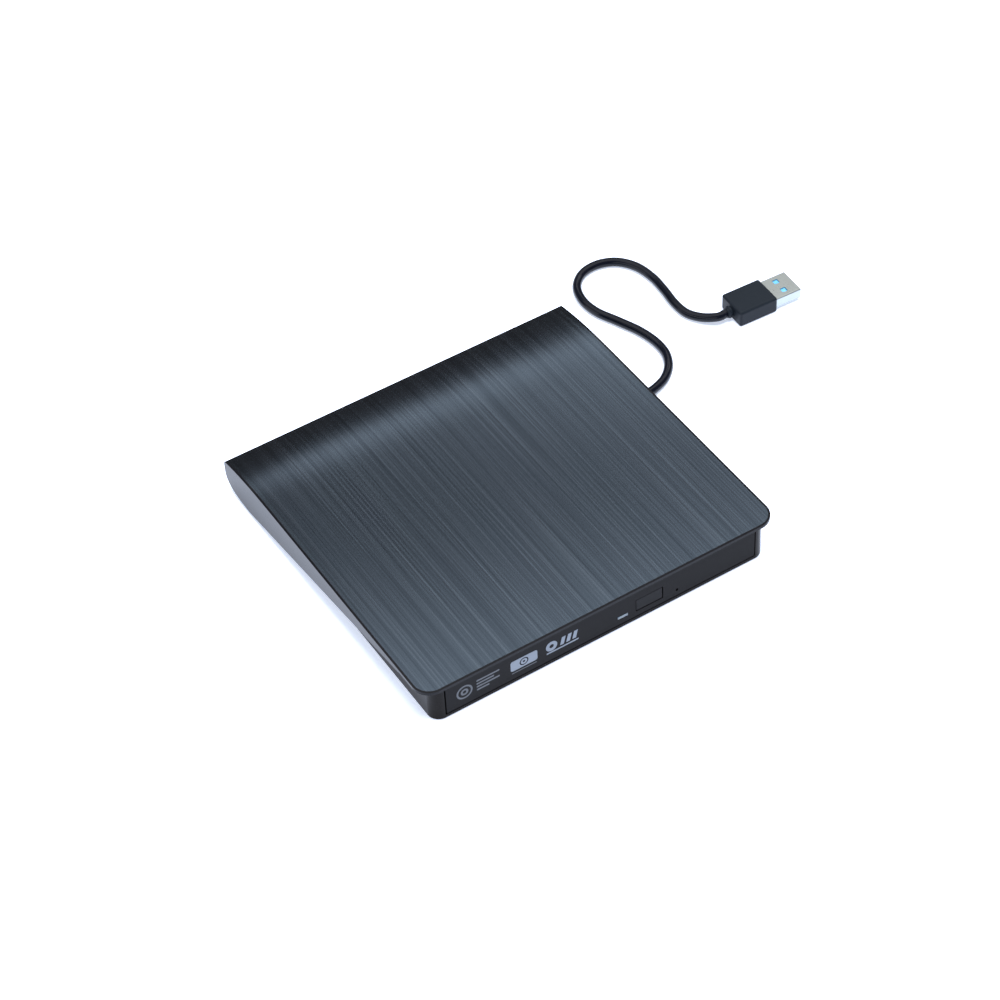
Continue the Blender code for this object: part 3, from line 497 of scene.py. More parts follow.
def bezier(a, b, c, d, steps):
    points = []
    for i in range(steps + 1):
        t = i / steps
        s = 1 - t
        points.append(tuple(s**3 * p + 3 * s * s * t * q + 3 * s * t * t * r + t**3 * w
                            for p, q, r, w in zip(a, b, c, d)))
    return points


def nose(inset):
    """The rounded rear end, from the top line round to the underside."""
    top = (ROLL_END - inset, COVER_TOP - ROLL_DROP - inset)
    rear = (COVER_REAR - inset, NOSE_HEIGHT)
    under = (WING_LOW_Y, COVER_LOW + inset)
    upper = bezier(top, (top[0] + 0.9, top[1] - 0.6), (rear[0], rear[1] + 2.1), rear, NOSE_UPPER_STEPS)
    reach = COVER_REAR - WING_LOW_Y
    lower = bezier(rear, (rear[0], rear[1] - 5.2), (WING_LOW_Y + reach * 0.88 - inset, under[1]),
                   under, NOSE_LOWER_STEPS)
    return upper[1:] + lower[1:]


def cover_edge(first, second):
    """Widest along the top, and narrow on the underside and at the rear."""
    upward = max(0.0, first.z, second.z)
    outside = min(first.z, second.z) < 0.3
    return COVER_LOWER_EDGE + (COVER_EDGE - COVER_LOWER_EDGE) * upward**4 * outside


def film(name, inset, depth, rise):
    """The film on the cover's top, from rise above the surface to depth below it."""
    rear = ROLL_END - 0.4
    under = top_line(-depth, rear)
    side = [(COVER_FRONT - 1, COVER_TOP + rise), *top_line(rise, rear), *under[::-1],
            (COVER_FRONT - 1, COVER_TOP - depth)]
    sheet = prism(name, side, COVER_LEFT - 1, COVER_RIGHT + 1, "X")
    plan = rounded_rectangle((COVER_LEFT + inset, COVER_RIGHT - inset),
                             (COVER_FRONT + inset, COVER_REAR + 5), COVER_CORNER - inset, 0.5, 16)
    return shape(sheet, prism("film_plan", plan, -2, COVER_TOP + 9), operation="INTERSECT")


def cover():
    side = [(COVER_FRONT - 1, COVER_TOP), *top_line(0, ROLL_END), *nose(0),
            (WING_FRONT_Y + 0.6, COVER_TOP - PLATE - 0.45), (WING_FRONT_Y, COVER_TOP - PLATE),
            (COVER_FRONT - 1, COVER_TOP - PLATE)]
    shell = prism("cover", side, COVER_LEFT - 1, COVER_RIGHT + 1, "X")
    plan = rounded_rectangle((COVER_LEFT, COVER_RIGHT), (COVER_FRONT, COVER_REAR + 0.5), COVER_CORNER, 0.9,
                             16)
    shape(shell, prism("cover_plan", plan, -2, COVER_TOP + 2), operation="INTERSECT")
    inner_rear = [(y, z) for y, z in nose(COVER_WALL) if y > CASE_REAR + GAP]
    cavity = [(WING_FRONT_Y - 4, COVER_TOP - PLATE), *top_line(-PLATE, ROLL_END - COVER_WALL),
              *inner_rear, (CASE_REAR + GAP, COVER_LOW + COVER_WALL), (CASE_REAR + GAP, -4),
              (WING_FRONT_Y - 4, -4)]
    shape(shell, prism("cover_cavity", cavity, CASE_LEFT - GAP, CASE_RIGHT + GAP, "X"))
    rounded_by(shell, cover_edge, COVER_EDGE_SEGMENTS)
    shape(shell, film("film_recess", FILM_INSET - 0.02, FILM_THICKNESS + 0.02, 1))
    finished(shell, COVER, "base", "cover_black", "top_cover")
    finished(rounded(film("cover_film", FILM_INSET, FILM_THICKNESS, 0), 0.03, 2), FILM, "base",
             "cover_black")
    posts = []
    high = COVER_TOP - PLATE + 0.2
    for x in (-SCREW_X, SCREW_X):
        for y in SCREW_Y:
            post = softened([(POST_BORE, POST_LOW), (POST_RADIUS, POST_LOW), (POST_RADIUS, high)], 0.2)
            posts.append(turned("post", [*post, (POST_BORE, high), (POST_BORE, POST_LOW)],
                                center=(x - math.copysign(0.1, x), y, 0), steps=32))
    finished(joined("cover_screw_posts", posts), CASE, "base", "cover_black")


def lower_case():
    top = COVER_TOP - PLATE - GAP
    side = [(CASE_FRONT - 1, CASE_LOW), (CASE_FRONT - 1, top), *top_line(-PLATE - GAP, CASE_REAR, 16),
            (CASE_REAR, CASE_LOW)]
    case = prism("case", side, CASE_LEFT - 1, CASE_RIGHT + 1, "X")
    plan = rounded_rectangle((CASE_LEFT, CASE_RIGHT), (CASE_FRONT, CASE_REAR), CASE_CORNER, 1.2, 14)
    shape(case, prism("case_plan", plan, -2, COVER_TOP + 2), operation="INTERSECT")
    tools = [block("bay", (-BAY_HALF, BAY_HALF), (CASE_FRONT - 5, CASE_REAR + 5),
                   (CASE_FLOOR, COVER_TOP + 5))]
    for sign in (-1, 1):
        pocket = sorted((sign * (BAY_HALF - 1), sign * (CASE_RIGHT - 0.65)))
        for y in SCREW_Y:
            tools.append(block("pocket", pocket, (y - 2.2, y + 2.2), (POST_LOW - GAP, COVER_TOP)))
            screw = (sign * SCREW_X, y)
            tools.append(prism("screw_hole", circle(screw, SCREW_HOLE_RADIUS, 24), -1, POST_LOW + 1))
            tools.append(prism("screw_seat", circle(screw, SCREW_SEAT_RADIUS, 32), -1, SCREW_SEAT_TOP))
        for y in FOOT_Y:
            tools.append(prism("foot_seat", circle((sign * FOOT_X, y), FOOT_SEAT_RADIUS, 48), -1,
                               FOOT_SEAT_TOP))
    tools.append(prism("gland_hole", circle((CORD_EXIT_Y, CORD_EXIT_Z), GLAND_HOLE_RADIUS, 32),
                       CASE_RIGHT - 6, CASE_RIGHT + 2, "X"))
    tools.append(prism("label_recess", rounded_rectangle(LABEL_X, LABEL_Y, LABEL_CORNER), -1,
                       CASE_LOW + LABEL_DEPTH))
    shape(case, *tools)
    rounded(case, 0.35, 3)
    finished(case, CASE, "base", "case_gloss", "lower_case")


def feet():
    for node in (n for n in NODES if n.startswith("foot_")):
        (x0, x1), (y0, y1), (low, high) = span(node)
        center = ((x0 + x1) / 2, (y0 + y1) / 2, 0)
        radius = (x1 - x0) / 2
        profile = softened([(0, 0.12), (radius - 1.6, 0.12), (radius - 1.2, low), (radius, low),
                            (radius, high), (0, high)], 0.25)
        finished(turned(node + "_pad", profile, center=center), FOOT_RUBBER, "base", "foot_rubber", node)


def case_screws():
    for node in (n for n in NODES if n.startswith("case_screw_")):
        (x0, x1), (y0, y1), (low, high) = span(node)
        x = (x0 + x1) / 2
        y = (y0 + y1) / 2
        head = (x1 - x0) / 2
        profile = softened([(0, low), (head, low), (head, low + 0.8), (0.75, low + 0.8),
                            (0.75, high - 0.6), (0, high)], 0.15)
        screw = turned(node + "_body", profile, center=(x, y, 0), steps=32)
        for dx, dy in ((0.9, 0.22), (0.22, 0.9)):
            shape(screw, block("slot", (x - dx, x + dx), (y - dy, y + dy), (low - 1, low + 0.5)))
        finished(screw, SCREW_BLACK, "base", "screw_steel", node)


# ------------------------------------------------------------------ tray front
(BEZEL_LEFT, BEZEL_RIGHT), (BEZEL_FRONT, BEZEL_BACK), (BEZEL_LOW, BEZEL_HIGH) = span("tray_bezel")
BUTTON_X, BUTTON_Y, BUTTON_Z = span("eject_button")
LED_X, LED_Y, LED_Z = span("activity_led_window")
PINHOLE = (30.6, 5.3)
INK_FACE = BEZEL_FRONT - 0.03
INK_BACK = BEZEL_FRONT + 0.02
MARK_HEIGHT = 8.8                  # middle of the track mark
TRACK_DISC_X = -56.4
TRACK_BARS_X = -51.6
TRACK_BAR_HEIGHT = 0.75
TRACK_BARS = ((1.95, 9.2), (0.45, 7.0), (-1.05, 9.2), (-2.55, 5.0))    # rise and length
TILE_X = (-38.0, -27.2)
TILE_Z = (6.6, 11.5)
TILE_DISC = (-32.6, 9.05)
MOTION_DISC = (-21.4, 9.4)
MOTION_BARS_X = -18.0
MOTION_BAR_PITCH = 2.5


def bezel():
    front = block("bezel", (BEZEL_LEFT, BEZEL_RIGHT), (BEZEL_FRONT, BEZEL_BACK), (BEZEL_LOW, BEZEL_HIGH))
    through = (BEZEL_FRONT - 1, BEZEL_BACK + 1)
    opening = rounded_rectangle((BUTTON_X[0] - 0.35, BUTTON_X[1] + 0.35),
                                (BUTTON_Z[0] - 0.25, BUTTON_Z[1] + 0.40), 0.4)
    window = rounded_rectangle((LED_X[0] - 0.1, LED_X[1] + 0.1), (LED_Z[0] - 0.1, LED_Z[1] + 0.1), 0.2)
    shape(front, prism("button_opening", opening, *through, "Y"),
          prism("led_opening", window, *through, "Y"),
          prism("pinhole", circle(PINHOLE, 0.6, 24), *through, "Y"))
    finished(rounded(front, 0.22), BEZEL, "tray", "bezel_satin", "tray_bezel")
    face = BEZEL_FRONT + 0.15
    cap = prism("button_cap", rounded_rectangle(BUTTON_X, BUTTON_Z, 0.3, steps=6), face,
                BEZEL_BACK - 0.4, "Y")
    middle = sum(BUTTON_X) / 2
    stem = block("button_stem", (middle - 1.2, middle + 1.2), (BEZEL_BACK - 1.5, BUTTON_Y[1]), (5.8, 7.8))
    shape(cap, stem, operation="UNION")
    finished(rounded(cap, 0.15), BUTTON, "button", "button_satin", "eject_button")
    pipe = prism("led_light_pipe", rounded_rectangle(LED_X, LED_Z, 0.15, steps=5), LED_Y[0], LED_Y[1], "Y")
    finished(rounded(pipe, 0.08), LIGHT_PIPE, "tray", "led_window", "activity_led_window")


def printed(name, surface, *outlines):
    """A flat printed mark on the bezel: each outline is a list of (x, z) points."""
    marks = [prism("mark", outline, INK_FACE, INK_BACK, "Y") for outline in outlines]
    finished(joined(name, marks), surface, "tray", "bezel_satin")


def ring(name, center, outer, inner, surface):
    mark = prism(name, circle(center, outer), INK_FACE, INK_BACK, "Y")
    shape(mark, prism("ring_middle", circle(center, inner), INK_FACE - 1, INK_BACK + 1, "Y"))
    finished(mark, surface, "tray", "bezel_satin")


def slanted(x, z, width, height, lean):
    return [(x, z), (x + width, z), (x + width + lean, z + height), (x + lean, z + height)]


def printed_marks():
    """Plain generic icons: a disc with track bars, a disc on a tile, a disc with motion bars."""
    ring("mark_disc_outer", (TRACK_DISC_X, MARK_HEIGHT), 3.2, 2.5, INK_DIM)
    ring("mark_disc_inner", (TRACK_DISC_X, MARK_HEIGHT), 1.5, 0.7, INK_DIM)
    bars = [rounded_rectangle((TRACK_BARS_X, TRACK_BARS_X + length),
                              (MARK_HEIGHT + rise, MARK_HEIGHT + rise + TRACK_BAR_HEIGHT), 0.3, steps=4)
            for rise, length in TRACK_BARS]
    printed("mark_track_bars", INK_DIM, *bars)
    tile = prism("mark_tile", rounded_rectangle(TILE_X, TILE_Z, 0.9), INK_FACE, INK_BACK, "Y")
    shape(tile, prism("tile_disc", circle(TILE_DISC, 1.8), INK_FACE - 1, INK_BACK + 1, "Y"))
    finished(tile, INK, "tray", "bezel_satin")
    ring("mark_tile_disc", TILE_DISC, 1.3, 0.5, INK)
    printed("mark_tile_line", INK_DIM, rounded_rectangle((-37.6, -27.6), (5.3, 5.65), 0.15, steps=3))
    ring("mark_motion_disc", MOTION_DISC, 2.3, 0.9, INK)
    motion = [slanted(MOTION_BARS_X + MOTION_BAR_PITCH * i, 7.6, 1.5, 3.6, 0.9) for i in range(3)]
    printed("mark_motion_bars", INK, *motion, slanted(-23.6, 6.1, 13.0, 0.65, 0.2))


# ------------------------------------------------------------------ cord and plug
CORD_RADIUS = 1.8
CORD_STEP = 1.2
CORD_EXIT_Y = 19.2
CORD_EXIT_Z = 2.9
GLAND_END_X = 79.0
PLUG_TAIL = Vector((130.9, 38.9))
PLUG_ANGLE = math.radians(-2.5)
PLUG_COLLAR = 2.2
PLUG_LENGTH = 17.0
PLUG_WIDTH = 13.6
PLUG_THICKNESS = 7.0
SHELL_WIDTH = 12.0
SHELL_THICKNESS = 4.5
SHELL_OUT = 11.2
SHELL_WALL = 0.35
SHELL_WINDOWS = (-2.7, 2.7)        # across the shell, from its middle
WINDOW_HALF = 1.15
CONTACTS = (-3.5, -1.2, 1.2, 3.5)  # across the tongue
# The tongue lies under the shell's upper face, where the two windows show it.
TONGUE_Z = [z - PLUG_THICKNESS / 2 for z in span("plug_tongue")[2]]


def cord_route():
    """The cord's plan, from the gland to the plug's collar."""
    heading = Vector((math.cos(PLUG_ANGLE), math.sin(PLUG_ANGLE)))
    last = PLUG_TAIL - heading * (PLUG_COLLAR + GAP)
    before = last - heading * 3.2
    lift = PLUG_THICKNESS / 2
    rest = CORD_RADIUS + 0.02
    return [(GLAND_END_X + GAP, 20.3, CORD_EXIT_Z - 0.15), (83.6, 21.5, 2.2), (89.6, 24.1, rest),
            (94.8, 28.8, rest), (98.0, 35.4, rest), (98.5, 43.0, rest), (96.8, 51.6, rest),
            (93.0, 61.2, rest), (89.5, 69.6, rest), (88.7, 78.0, rest), (91.2, 86.0, rest),
            (97.2, 91.3, rest), (104.8, 92.4, rest), (112.0, 89.4, rest), (116.8, 82.6, rest),
            (118.4, 73.6, rest), (117.9, 64.8, rest), (116.9, 56.6, rest), (117.4, 49.2, rest),
            (120.6, 43.3, 2.3), (before.x, before.y, lift - 0.25), (last.x, last.y, lift)]


def smooth_points(route, spacing):
    """Catmull-Rom points through the route, about spacing apart."""
    knots = [Vector(p) for p in route]
    knots = [knots[0] * 2 - knots[1], *knots, knots[-1] * 2 - knots[-2]]
    points = []
    for a, b, c, d in zip(knots, knots[1:], knots[2:], knots[3:]):
        count = max(1, round((c - b).length / spacing))
        for i in range(count):
            t = i / count
            points.append(0.5 * (2 * b + (c - a) * t + (2 * a - 5 * b + 4 * c - d) * t * t
                                 + (3 * b - a - 3 * c + d) * t**3))
    return [*points, knots[-2]]


def cord():
    points = smooth_points(cord_route(), CORD_STEP)
    curve = bpy.data.curves.new("cord", "CURVE")
    curve.dimensions = "3D"
    curve.bevel_depth = CORD_RADIUS * MM
    curve.bevel_resolution = 6
    curve.use_fill_caps = True
    line = curve.splines.new("POLY")
    line.use_smooth = True
    line.points.add(len(points) - 1)
    for target, point in zip(line.points, points):
        target.co = (*(point * MM), 1)
    curve.materials.append(CORD_VINYL)
    lead = object_of(curve, "cord")
    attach(lead, "base")
    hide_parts("usb_cord")
    length = sum((b - a).length for a, b in zip(points, points[1:])) * MM
    return lead, length, points[0] * MM


def strain_relief():
    """Tapered and ribbed, from inside the case wall to the cord."""
    wall = CASE_RIGHT + GAP
    profile = [(0, BAY_HALF + 0.4), (1.8, BAY_HALF + 0.4), (1.8, wall), (2.5, wall), (2.5, wall + 1.3)]
    ribs = 6
    pitch = (GLAND_END_X - wall - 1.6) / ribs
    for i in range(ribs):
        start = wall + 1.6 + pitch * i
        outer = 2.5 - 0.4 * (i + 0.5) / ribs
        profile += [(outer - 0.28, start), (outer - 0.28, start + pitch * 0.35),
                    (outer, start + pitch * 0.45), (outer, start + pitch * 0.95)]
    profile += [(2.05, GLAND_END_X), (0, GLAND_END_X)]
    relief = turned("strain_relief", softened(profile, 0.18, 3), "X", (0, CORD_EXIT_Y, CORD_EXIT_Z))
    return finished(relief, CORD_VINYL, "base", "cord_vinyl", "cord_strain_relief")


def at_plug(piece):
    """Moves a piece made about the plug's own tail and axis to where the plug lies."""
    place = Matrix.Translation(Vector((*PLUG_TAIL, PLUG_THICKNESS / 2)) * MM)
    piece.data.transform(place @ Matrix.Rotation(PLUG_ANGLE, 4, "Z"))
    return piece


def overmold():
    half = PLUG_WIDTH / 2
    thick = PLUG_THICKNESS / 2
    body = block("overmold", (0, PLUG_LENGTH), (-half, half), (-thick, thick))
    rounded(body, 0.95, 5)
    shape(body, block("seat", (PLUG_LENGTH - 2.2, PLUG_LENGTH + 1),
                      (-SHELL_WIDTH / 2 - 0.15, SHELL_WIDTH / 2 + 0.15),
                      (-SHELL_THICKNESS / 2 - 0.15, SHELL_THICKNESS / 2 + 0.15)))
    collar = softened([(0, -PLUG_COLLAR), (2.1, -PLUG_COLLAR), (2.1, -1.5), (2.5, -1.5), (2.5, -0.8),
                       (2.15, -0.8), (2.15, 0.6), (0, 0.6)], 0.15)
    shape(body, turned("collar", collar, "X", steps=40), operation="UNION")
    return finished(at_plug(body), PLUG_VINYL, "base", "plug_vinyl", "plug_overmold")


def shell():
    start = PLUG_LENGTH - 1.9
    end = PLUG_LENGTH + SHELL_OUT
    wide = SHELL_WIDTH / 2
    thick = SHELL_THICKNESS / 2
    tube = prism("shell", rounded_rectangle((-wide, wide), (-thick, thick), 0.55, steps=6), start, end, "X")
    inner = rounded_rectangle((-wide + SHELL_WALL, wide - SHELL_WALL),
                              (-thick + SHELL_WALL, thick - SHELL_WALL), 0.25, steps=6)
    tools = [prism("mouth", inner, start + 0.5, end + 2, "X")]
    middle = PLUG_LENGTH + 5.4
    for v in SHELL_WINDOWS:
        window = rounded_rectangle((middle - WINDOW_HALF, middle + WINDOW_HALF),
                                   (v - WINDOW_HALF, v + WINDOW_HALF), 0.35, steps=5)
        tools.append(prism("window", window, -5, 5))
    tools.append(block("seam", (start + 1, end + 1), (-0.06, 0.06), (-5, -thick + 0.2)))
    shape(tube, *tools)
    return finished(at_plug(rounded(tube, 0.07, 2)), NICKEL, "base", "plug_nickel", "plug_shell")


def tongue():
    low, high = TONGUE_Z
    start = PLUG_LENGTH + 1.2
    end = PLUG_LENGTH + SHELL_OUT - 0.5
    wide = SHELL_WIDTH / 2 - 0.6
    bar = block("tongue", (start, end), (-wide, wide), (low, high))
    insulator = finished(at_plug(rounded(bar, 0.15, 2)), INSULATOR, "base", "plug_insulator", "plug_tongue")
    strips = []
    for v in CONTACTS:
        strip = block("strip", (end - 7.2, end - 0.9), (v - 0.5, v + 0.5), (low - 0.05, low + 0.1))
        strips.append(rounded(strip, 0.04, 2))
    contacts = finished(at_plug(joined("tongue_contacts", strips)), GOLD, "base", "plug_nickel")
    return insulator, contacts


# ------------------------------------------------------------------ disc tray
TRAY_X, TRAY_Y, TRAY_Z = span("disc_tray")
SPINDLE = Vector((0.0, -3.0))
TRAY_PLATE_LOW = 8.7
RECESS_FLOOR = 11.6
RECESS_RADIUS = 60.6
SMALL_DISC_RADIUS = 40.6
HUB_OPENING_RADIUS = 16.0
TRAY_WALL = 1.6
PLUNGER_STOP_X = (41, 47)
PLUNGER_STOP_Y = (35.6, 39.6)
PICKUP_HEADING = math.radians(225)
MECHANISM = Matrix.Translation(Vector((*SPINDLE, 0)) * MM) @ Matrix.Rotation(PICKUP_HEADING, 4, "Z")


def on_mechanism(piece):
    """Moves a piece made about the spindle, with the pickup's travel along +X, to its place."""
    piece.data.transform(MECHANISM)
    return piece


def tray():
    body = block("tray", TRAY_X, TRAY_Y, TRAY_Z)
    inner = TRAY_X[1] - TRAY_WALL
    tools = [block("underside", (-inner, inner), (TRAY_Y[0] + TRAY_WALL, TRAY_Y[1] + 5),
                   (TRAY_Z[0] - 5, TRAY_PLATE_LOW)),
             prism("disc_recess", circle(SPINDLE, RECESS_RADIUS, 160), RECESS_FLOOR, TRAY_Z[1] + 5),
             prism("small_disc_recess", circle(SPINDLE, SMALL_DISC_RADIUS, 128), RECESS_FLOOR - 0.5,
                   TRAY_Z[1] + 5),
             on_mechanism(prism("pickup_window", rounded_rectangle((0, 62.6), (-11.5, 11.5), 2.0), 5, 20)),
             prism("hub_opening", circle(SPINDLE, HUB_OPENING_RADIUS, 64), 5, 20),
             block("button_space", (BUTTON_X[0] - 0.4, BUTTON_X[1] + 0.4), (TRAY_Y[0] - 1, TRAY_Y[0] + 3),
                   (BUTTON_Z[0] - 0.4, TRAY_PLATE_LOW - 0.2)),
             block("led_space", (LED_X[0] - 0.6, LED_X[1] + 0.6), (TRAY_Y[0] - 1, TRAY_Y[0] + 3),
                   (LED_Z[0] - 0.6, LED_Z[1] + 0.6)),
             prism("pinhole_space", circle(PINHOLE, 1.0, 20), TRAY_Y[0] - 1, TRAY_Y[0] + 3, "Y")]
    shape(body, *tools)
    stop = block("plunger_stop", PLUNGER_STOP_X, PLUNGER_STOP_Y, (4.4, TRAY_PLATE_LOW + 0.5))
    shape(body, stop, operation="UNION")
    finished(rounded(body, 0.18, 2), TRAY, "tray", "tray_plastic", "disc_tray")


def tray_electrics():
    x, y, z = span("latch_solenoid")
    core = block("solenoid", x, y, z)
    finished(rounded(core, 0.4), EPOXY, "tray", "chip_epoxy", "latch_solenoid")
    (x0, x1), (y0, y1), (z0, z1) = span("latch_pivot")
    radius = (x1 - x0) / 2
    pin = turned("pivot_pin", softened([(0, z0), (radius, z0), (radius, z1), (0, z1)], 0.15),
                 center=((x0 + x1) / 2, (y0 + y1) / 2, 0), steps=32)
    finished(pin, BRIGHT_STEEL, "tray", "ground_steel", "latch_pivot")
    pivot = ((x0 + x1) / 2, (y0 + y1) / 2)
    z = span("latch_hook")[2]
    outline = [(pivot[0] + a, pivot[1] + b) for a, b in
               [*arc((0, 0), 2.2, 90, 270, 16), (9.5, -2.2), (9.5, 3.4), (7.4, 3.4), (7.4, 0.6), (2.0, 0.6)]]
    hook = prism("hook", outline, *z)
    shape(hook, prism("hook_bore", circle(pivot, 1.1, 32), 0, 10))
    finished(rounded(hook, 0.2), HUB, "latch", "hub_plastic", "latch_hook")


def plunger_and_spring():
    (x0, x1), (y0, y1), (z0, z1) = span("eject_plunger")
    center = ((x0 + x1) / 2, 0, (z0 + z1) / 2)
    radius = (x1 - x0) / 2
    rod = turned("plunger", softened([(0, y0), (radius, y0), (radius, y1), (0, y1)], 0.3), "Y", center, 32)
    finished(rod, HUB, "tray", "hub_plastic", "eject_plunger")
    spring_y = span("eject_spring")[1]
    wire = 0.22
    turns = 6
    per_turn = 24
    coil_radius = 1.7
    start = spring_y[0] + wire
    pitch = (spring_y[1] - spring_y[0] - 2 * wire) / turns
    curve = bpy.data.curves.new("spring", "CURVE")
    curve.dimensions = "3D"
    curve.bevel_depth = wire * MM
    curve.bevel_resolution = 3
    curve.use_fill_caps = True
    coil = curve.splines.new("POLY")
    coil.use_smooth = True
    coil.points.add(turns * per_turn)
    for i, point in enumerate(coil.points):
        a = 2 * math.pi * i / per_turn
        point.co = ((center[0] + coil_radius * math.cos(a)) * MM, (start + pitch * i / per_turn) * MM,
                    (center[2] + coil_radius * math.sin(a)) * MM, 1)
    curve.materials.append(BRIGHT_STEEL)
    spring = object_of(curve, "spring")
    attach(spring, "tray")
    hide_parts("eject_spring")


# ------------------------------------------------------------------ disc mechanism
ROD_V = 13.5
ROD_Z = 6.1
ROD_U = (12.8, 64.8)
LEAD_SCREW_V = 18.4
LEAD_SCREW_U = (22.4, 58.4)
SLED_U = 24.0
GROMMET_PLACES = ((-13.2, -15.2), (-13.2, 17.2), (56.0, 17.2))


def spindle():
    rotor = softened([(0, 10.7), (7.6, 10.7), (7.6, 11.2), (14.0, 11.2), (14.0, 10.2), (11.4, 9.6),
                      (11.4, 5.2), (0, 5.2)], 0.25)
    center = (*SPINDLE, 0)
    finished(turned("rotor", rotor, center=center, steps=96), BRIGHT_STEEL, "spindle", "ground_steel",
             "spindle_rotor")
    pad = softened([(9.6, 11.5), (13.9, 11.5), (13.9, 12.1), (9.6, 12.1)], 0.12)
    finished(turned("pad", [*pad, (9.6, 11.5)], center=center, steps=96), GROMMET, "spindle",
             "grommet_rubber", "disc_pad")
    cone = softened([(0, 12.9), (2.6, 12.9), (3.0, 13.3), (5.6, 13.3), (7.2, 12.6), (7.2, 11.0), (0, 11.0)],
                    0.2)
    hub = turned("hub", cone, center=center, steps=72)
    for number in (1, 2, 3):
        (x0, x1), (y0, y1), (z0, z1) = span(f"clamp_ball_{number}")
        place = ((x0 + x1) / 2, (y0 + y1) / 2)
        outward = (Vector(place) - SPINDLE).normalized()
        seat = circle(Vector(place) + outward * 0.35, 1.5, 32)
        shape(hub, prism("ball_seat", seat, 11.25, 13.15))
        ball = [(0.85 * math.cos(a), 0.85 * math.sin(a)) for a in
                [math.radians(-90 + 180 * i / 20) for i in range(21)]]
        finished(turned(f"ball_{number}", ball, center=(*place, (z0 + z1) / 2), steps=32), BRIGHT_STEEL,
                 "spindle", "ground_steel", f"clamp_ball_{number}")
    finished(rounded(hub, 0.08, 2), HUB, "spindle", "hub_plastic", "clamp_hub")


def rods_and_screw():
    for node, v in (("guide_rod_main", ROD_V), ("guide_rod_aux", -ROD_V)):
        bar = softened([(0, ROD_U[0]), (1.0, ROD_U[0]), (1.0, ROD_U[1]), (0, ROD_U[1])], 0.2)
        finished(on_mechanism(turned(node + "_bar", bar, "X", (0, v, ROD_Z), 40)), BRIGHT_STEEL, "tray",
                 "ground_steel", node)
    core = 0.68
    crest = 0.9
    pitch = 1.0
    start, end = LEAD_SCREW_U
    thread = [(0, start), (core, start), (core, start + 1)]
    for i in range(int((end - start - 2) / pitch)):
        at = start + 1 + i * pitch
        thread += [(core, at + 0.3), (crest, at + 0.5), (crest, at + 0.7), (core, at + 0.95)]
    thread += [(core, end), (0, end)]
    screw = on_mechanism(turned("threaded_screw", thread, "X", (0, LEAD_SCREW_V, ROD_Z), 24))
    finished(screw, BRIGHT_STEEL, "screw", "ground_steel", "lead_screw")


def pickup():
    low, high = span("pickup_sled")[2]
    sled = block("sled", (SLED_U - 7, SLED_U + 7), (-15, 15.4), (low, high))
    tools = [prism("rod_bore", circle((ROD_V, ROD_Z), 1.3, 32), SLED_U - 10, SLED_U + 10, "X"),
             block("rod_fork", (SLED_U - 8, SLED_U + 8), (-16, -12.2), (ROD_Z - 1.3, ROD_Z + 1.3))]
    for end in (-1, 1):
        corner = sorted((SLED_U + end * 3.5, SLED_U + end * 8))
        tools.append(block("corner", corner, (-17, -8.5), (low - 1, high + 1)))
    shape(sled, *tools)
    arm = block("nut_arm", (SLED_U + 2, SLED_U + 5), (15, LEAD_SCREW_V - 1.2), (5.6, 6.6))
    shape(sled, arm, operation="UNION")
    finished(on_mechanism(rounded(sled, 0.25)), DIE_CAST, "sled", "die_cast_zinc", "pickup_sled")
    z = span("lens_carrier")[2]
    carrier = block("carrier", (SLED_U - 4, SLED_U + 4), (-5, 5), z)
    shape(carrier, prism("lens_bore", circle((SLED_U, 0), 2.5, 48), 0, 20))
    finished(on_mechanism(rounded(carrier, 0.2)), HUB, "lens", "hub_plastic", "lens_carrier")
    dome = [(2.2 * math.sin(a), 8.7 + 1.05 * math.cos(a)) for a in
            [math.radians(90 * i / 16) for i in range(17)]]
    lens = turned("lens_dome", [*dome, (2.2, 8.3), (0, 8.3)], center=(SLED_U, 0, 0), steps=48)
    finished(on_mechanism(lens), LENS, "lens", "lens_glass", "objective_lens")


def grommets():
    for number, (u, v) in enumerate(GROMMET_PLACES, 1):
        profile = softened([(0, 7.75), (1.7, 7.75), (1.7, 8.55), (0.7, 8.55), (0.5, 8.3), (0, 8.3)], 0.15)
        finished(on_mechanism(turned(f"grommet_{number}_bush", profile, center=(u, v, 0), steps=40)), GROMMET,
                 "tray", "grommet_rubber", f"grommet_{number}")


# ------------------------------------------------------------------ boards
CAPACITORS_IN_ROW = 14
CAPACITOR_START = -54
CAPACITOR_PITCH = 6.1
CAPACITOR_Z = (3.9, 4.6)


def board_parts():
    """Small capacitors in two rows on the main board, clear of its chips."""
    ceramics = []
    for i in range(CAPACITORS_IN_ROW):
        x = CAPACITOR_START + CAPACITOR_PITCH * i
        if -36 < x < -18 or -8 < x < 4:
            continue
        ceramics.append(rounded(block("chip", (x, x + 1.6), (33.6, 34.4), CAPACITOR_Z), 0.1, 2))
        ceramics.append(rounded(block("chip", (x + 0.3, x + 1.9), (42.0, 42.8), CAPACITOR_Z), 0.1, 2))
    finished(joined("board_capacitors", ceramics), CERAMIC, "base", "circuit_board")


CARRIED_OVER = {
    "chassis_pan": ZINC, "chassis_lid": ZINC, "slide_rail_left": ZINC, "slide_rail_right": ZINC,
    "tray_undercover": ZINC, "traverse_frame": ZINC, "sled_motor": ZINC, "main_board": BOARD,
    "bridge_board": BOARD, "front_board": BOARD, "spindle_motor_base": BOARD,
    "drive_controller_chip": EPOXY, "motor_driver_chip": EPOXY, "drive_sata_socket": EPOXY,
    "bridge_chip": EPOXY, "bridge_sata_plug": EPOXY, "eject_switch": EPOXY, "flex_ribbon": FLEX,
}


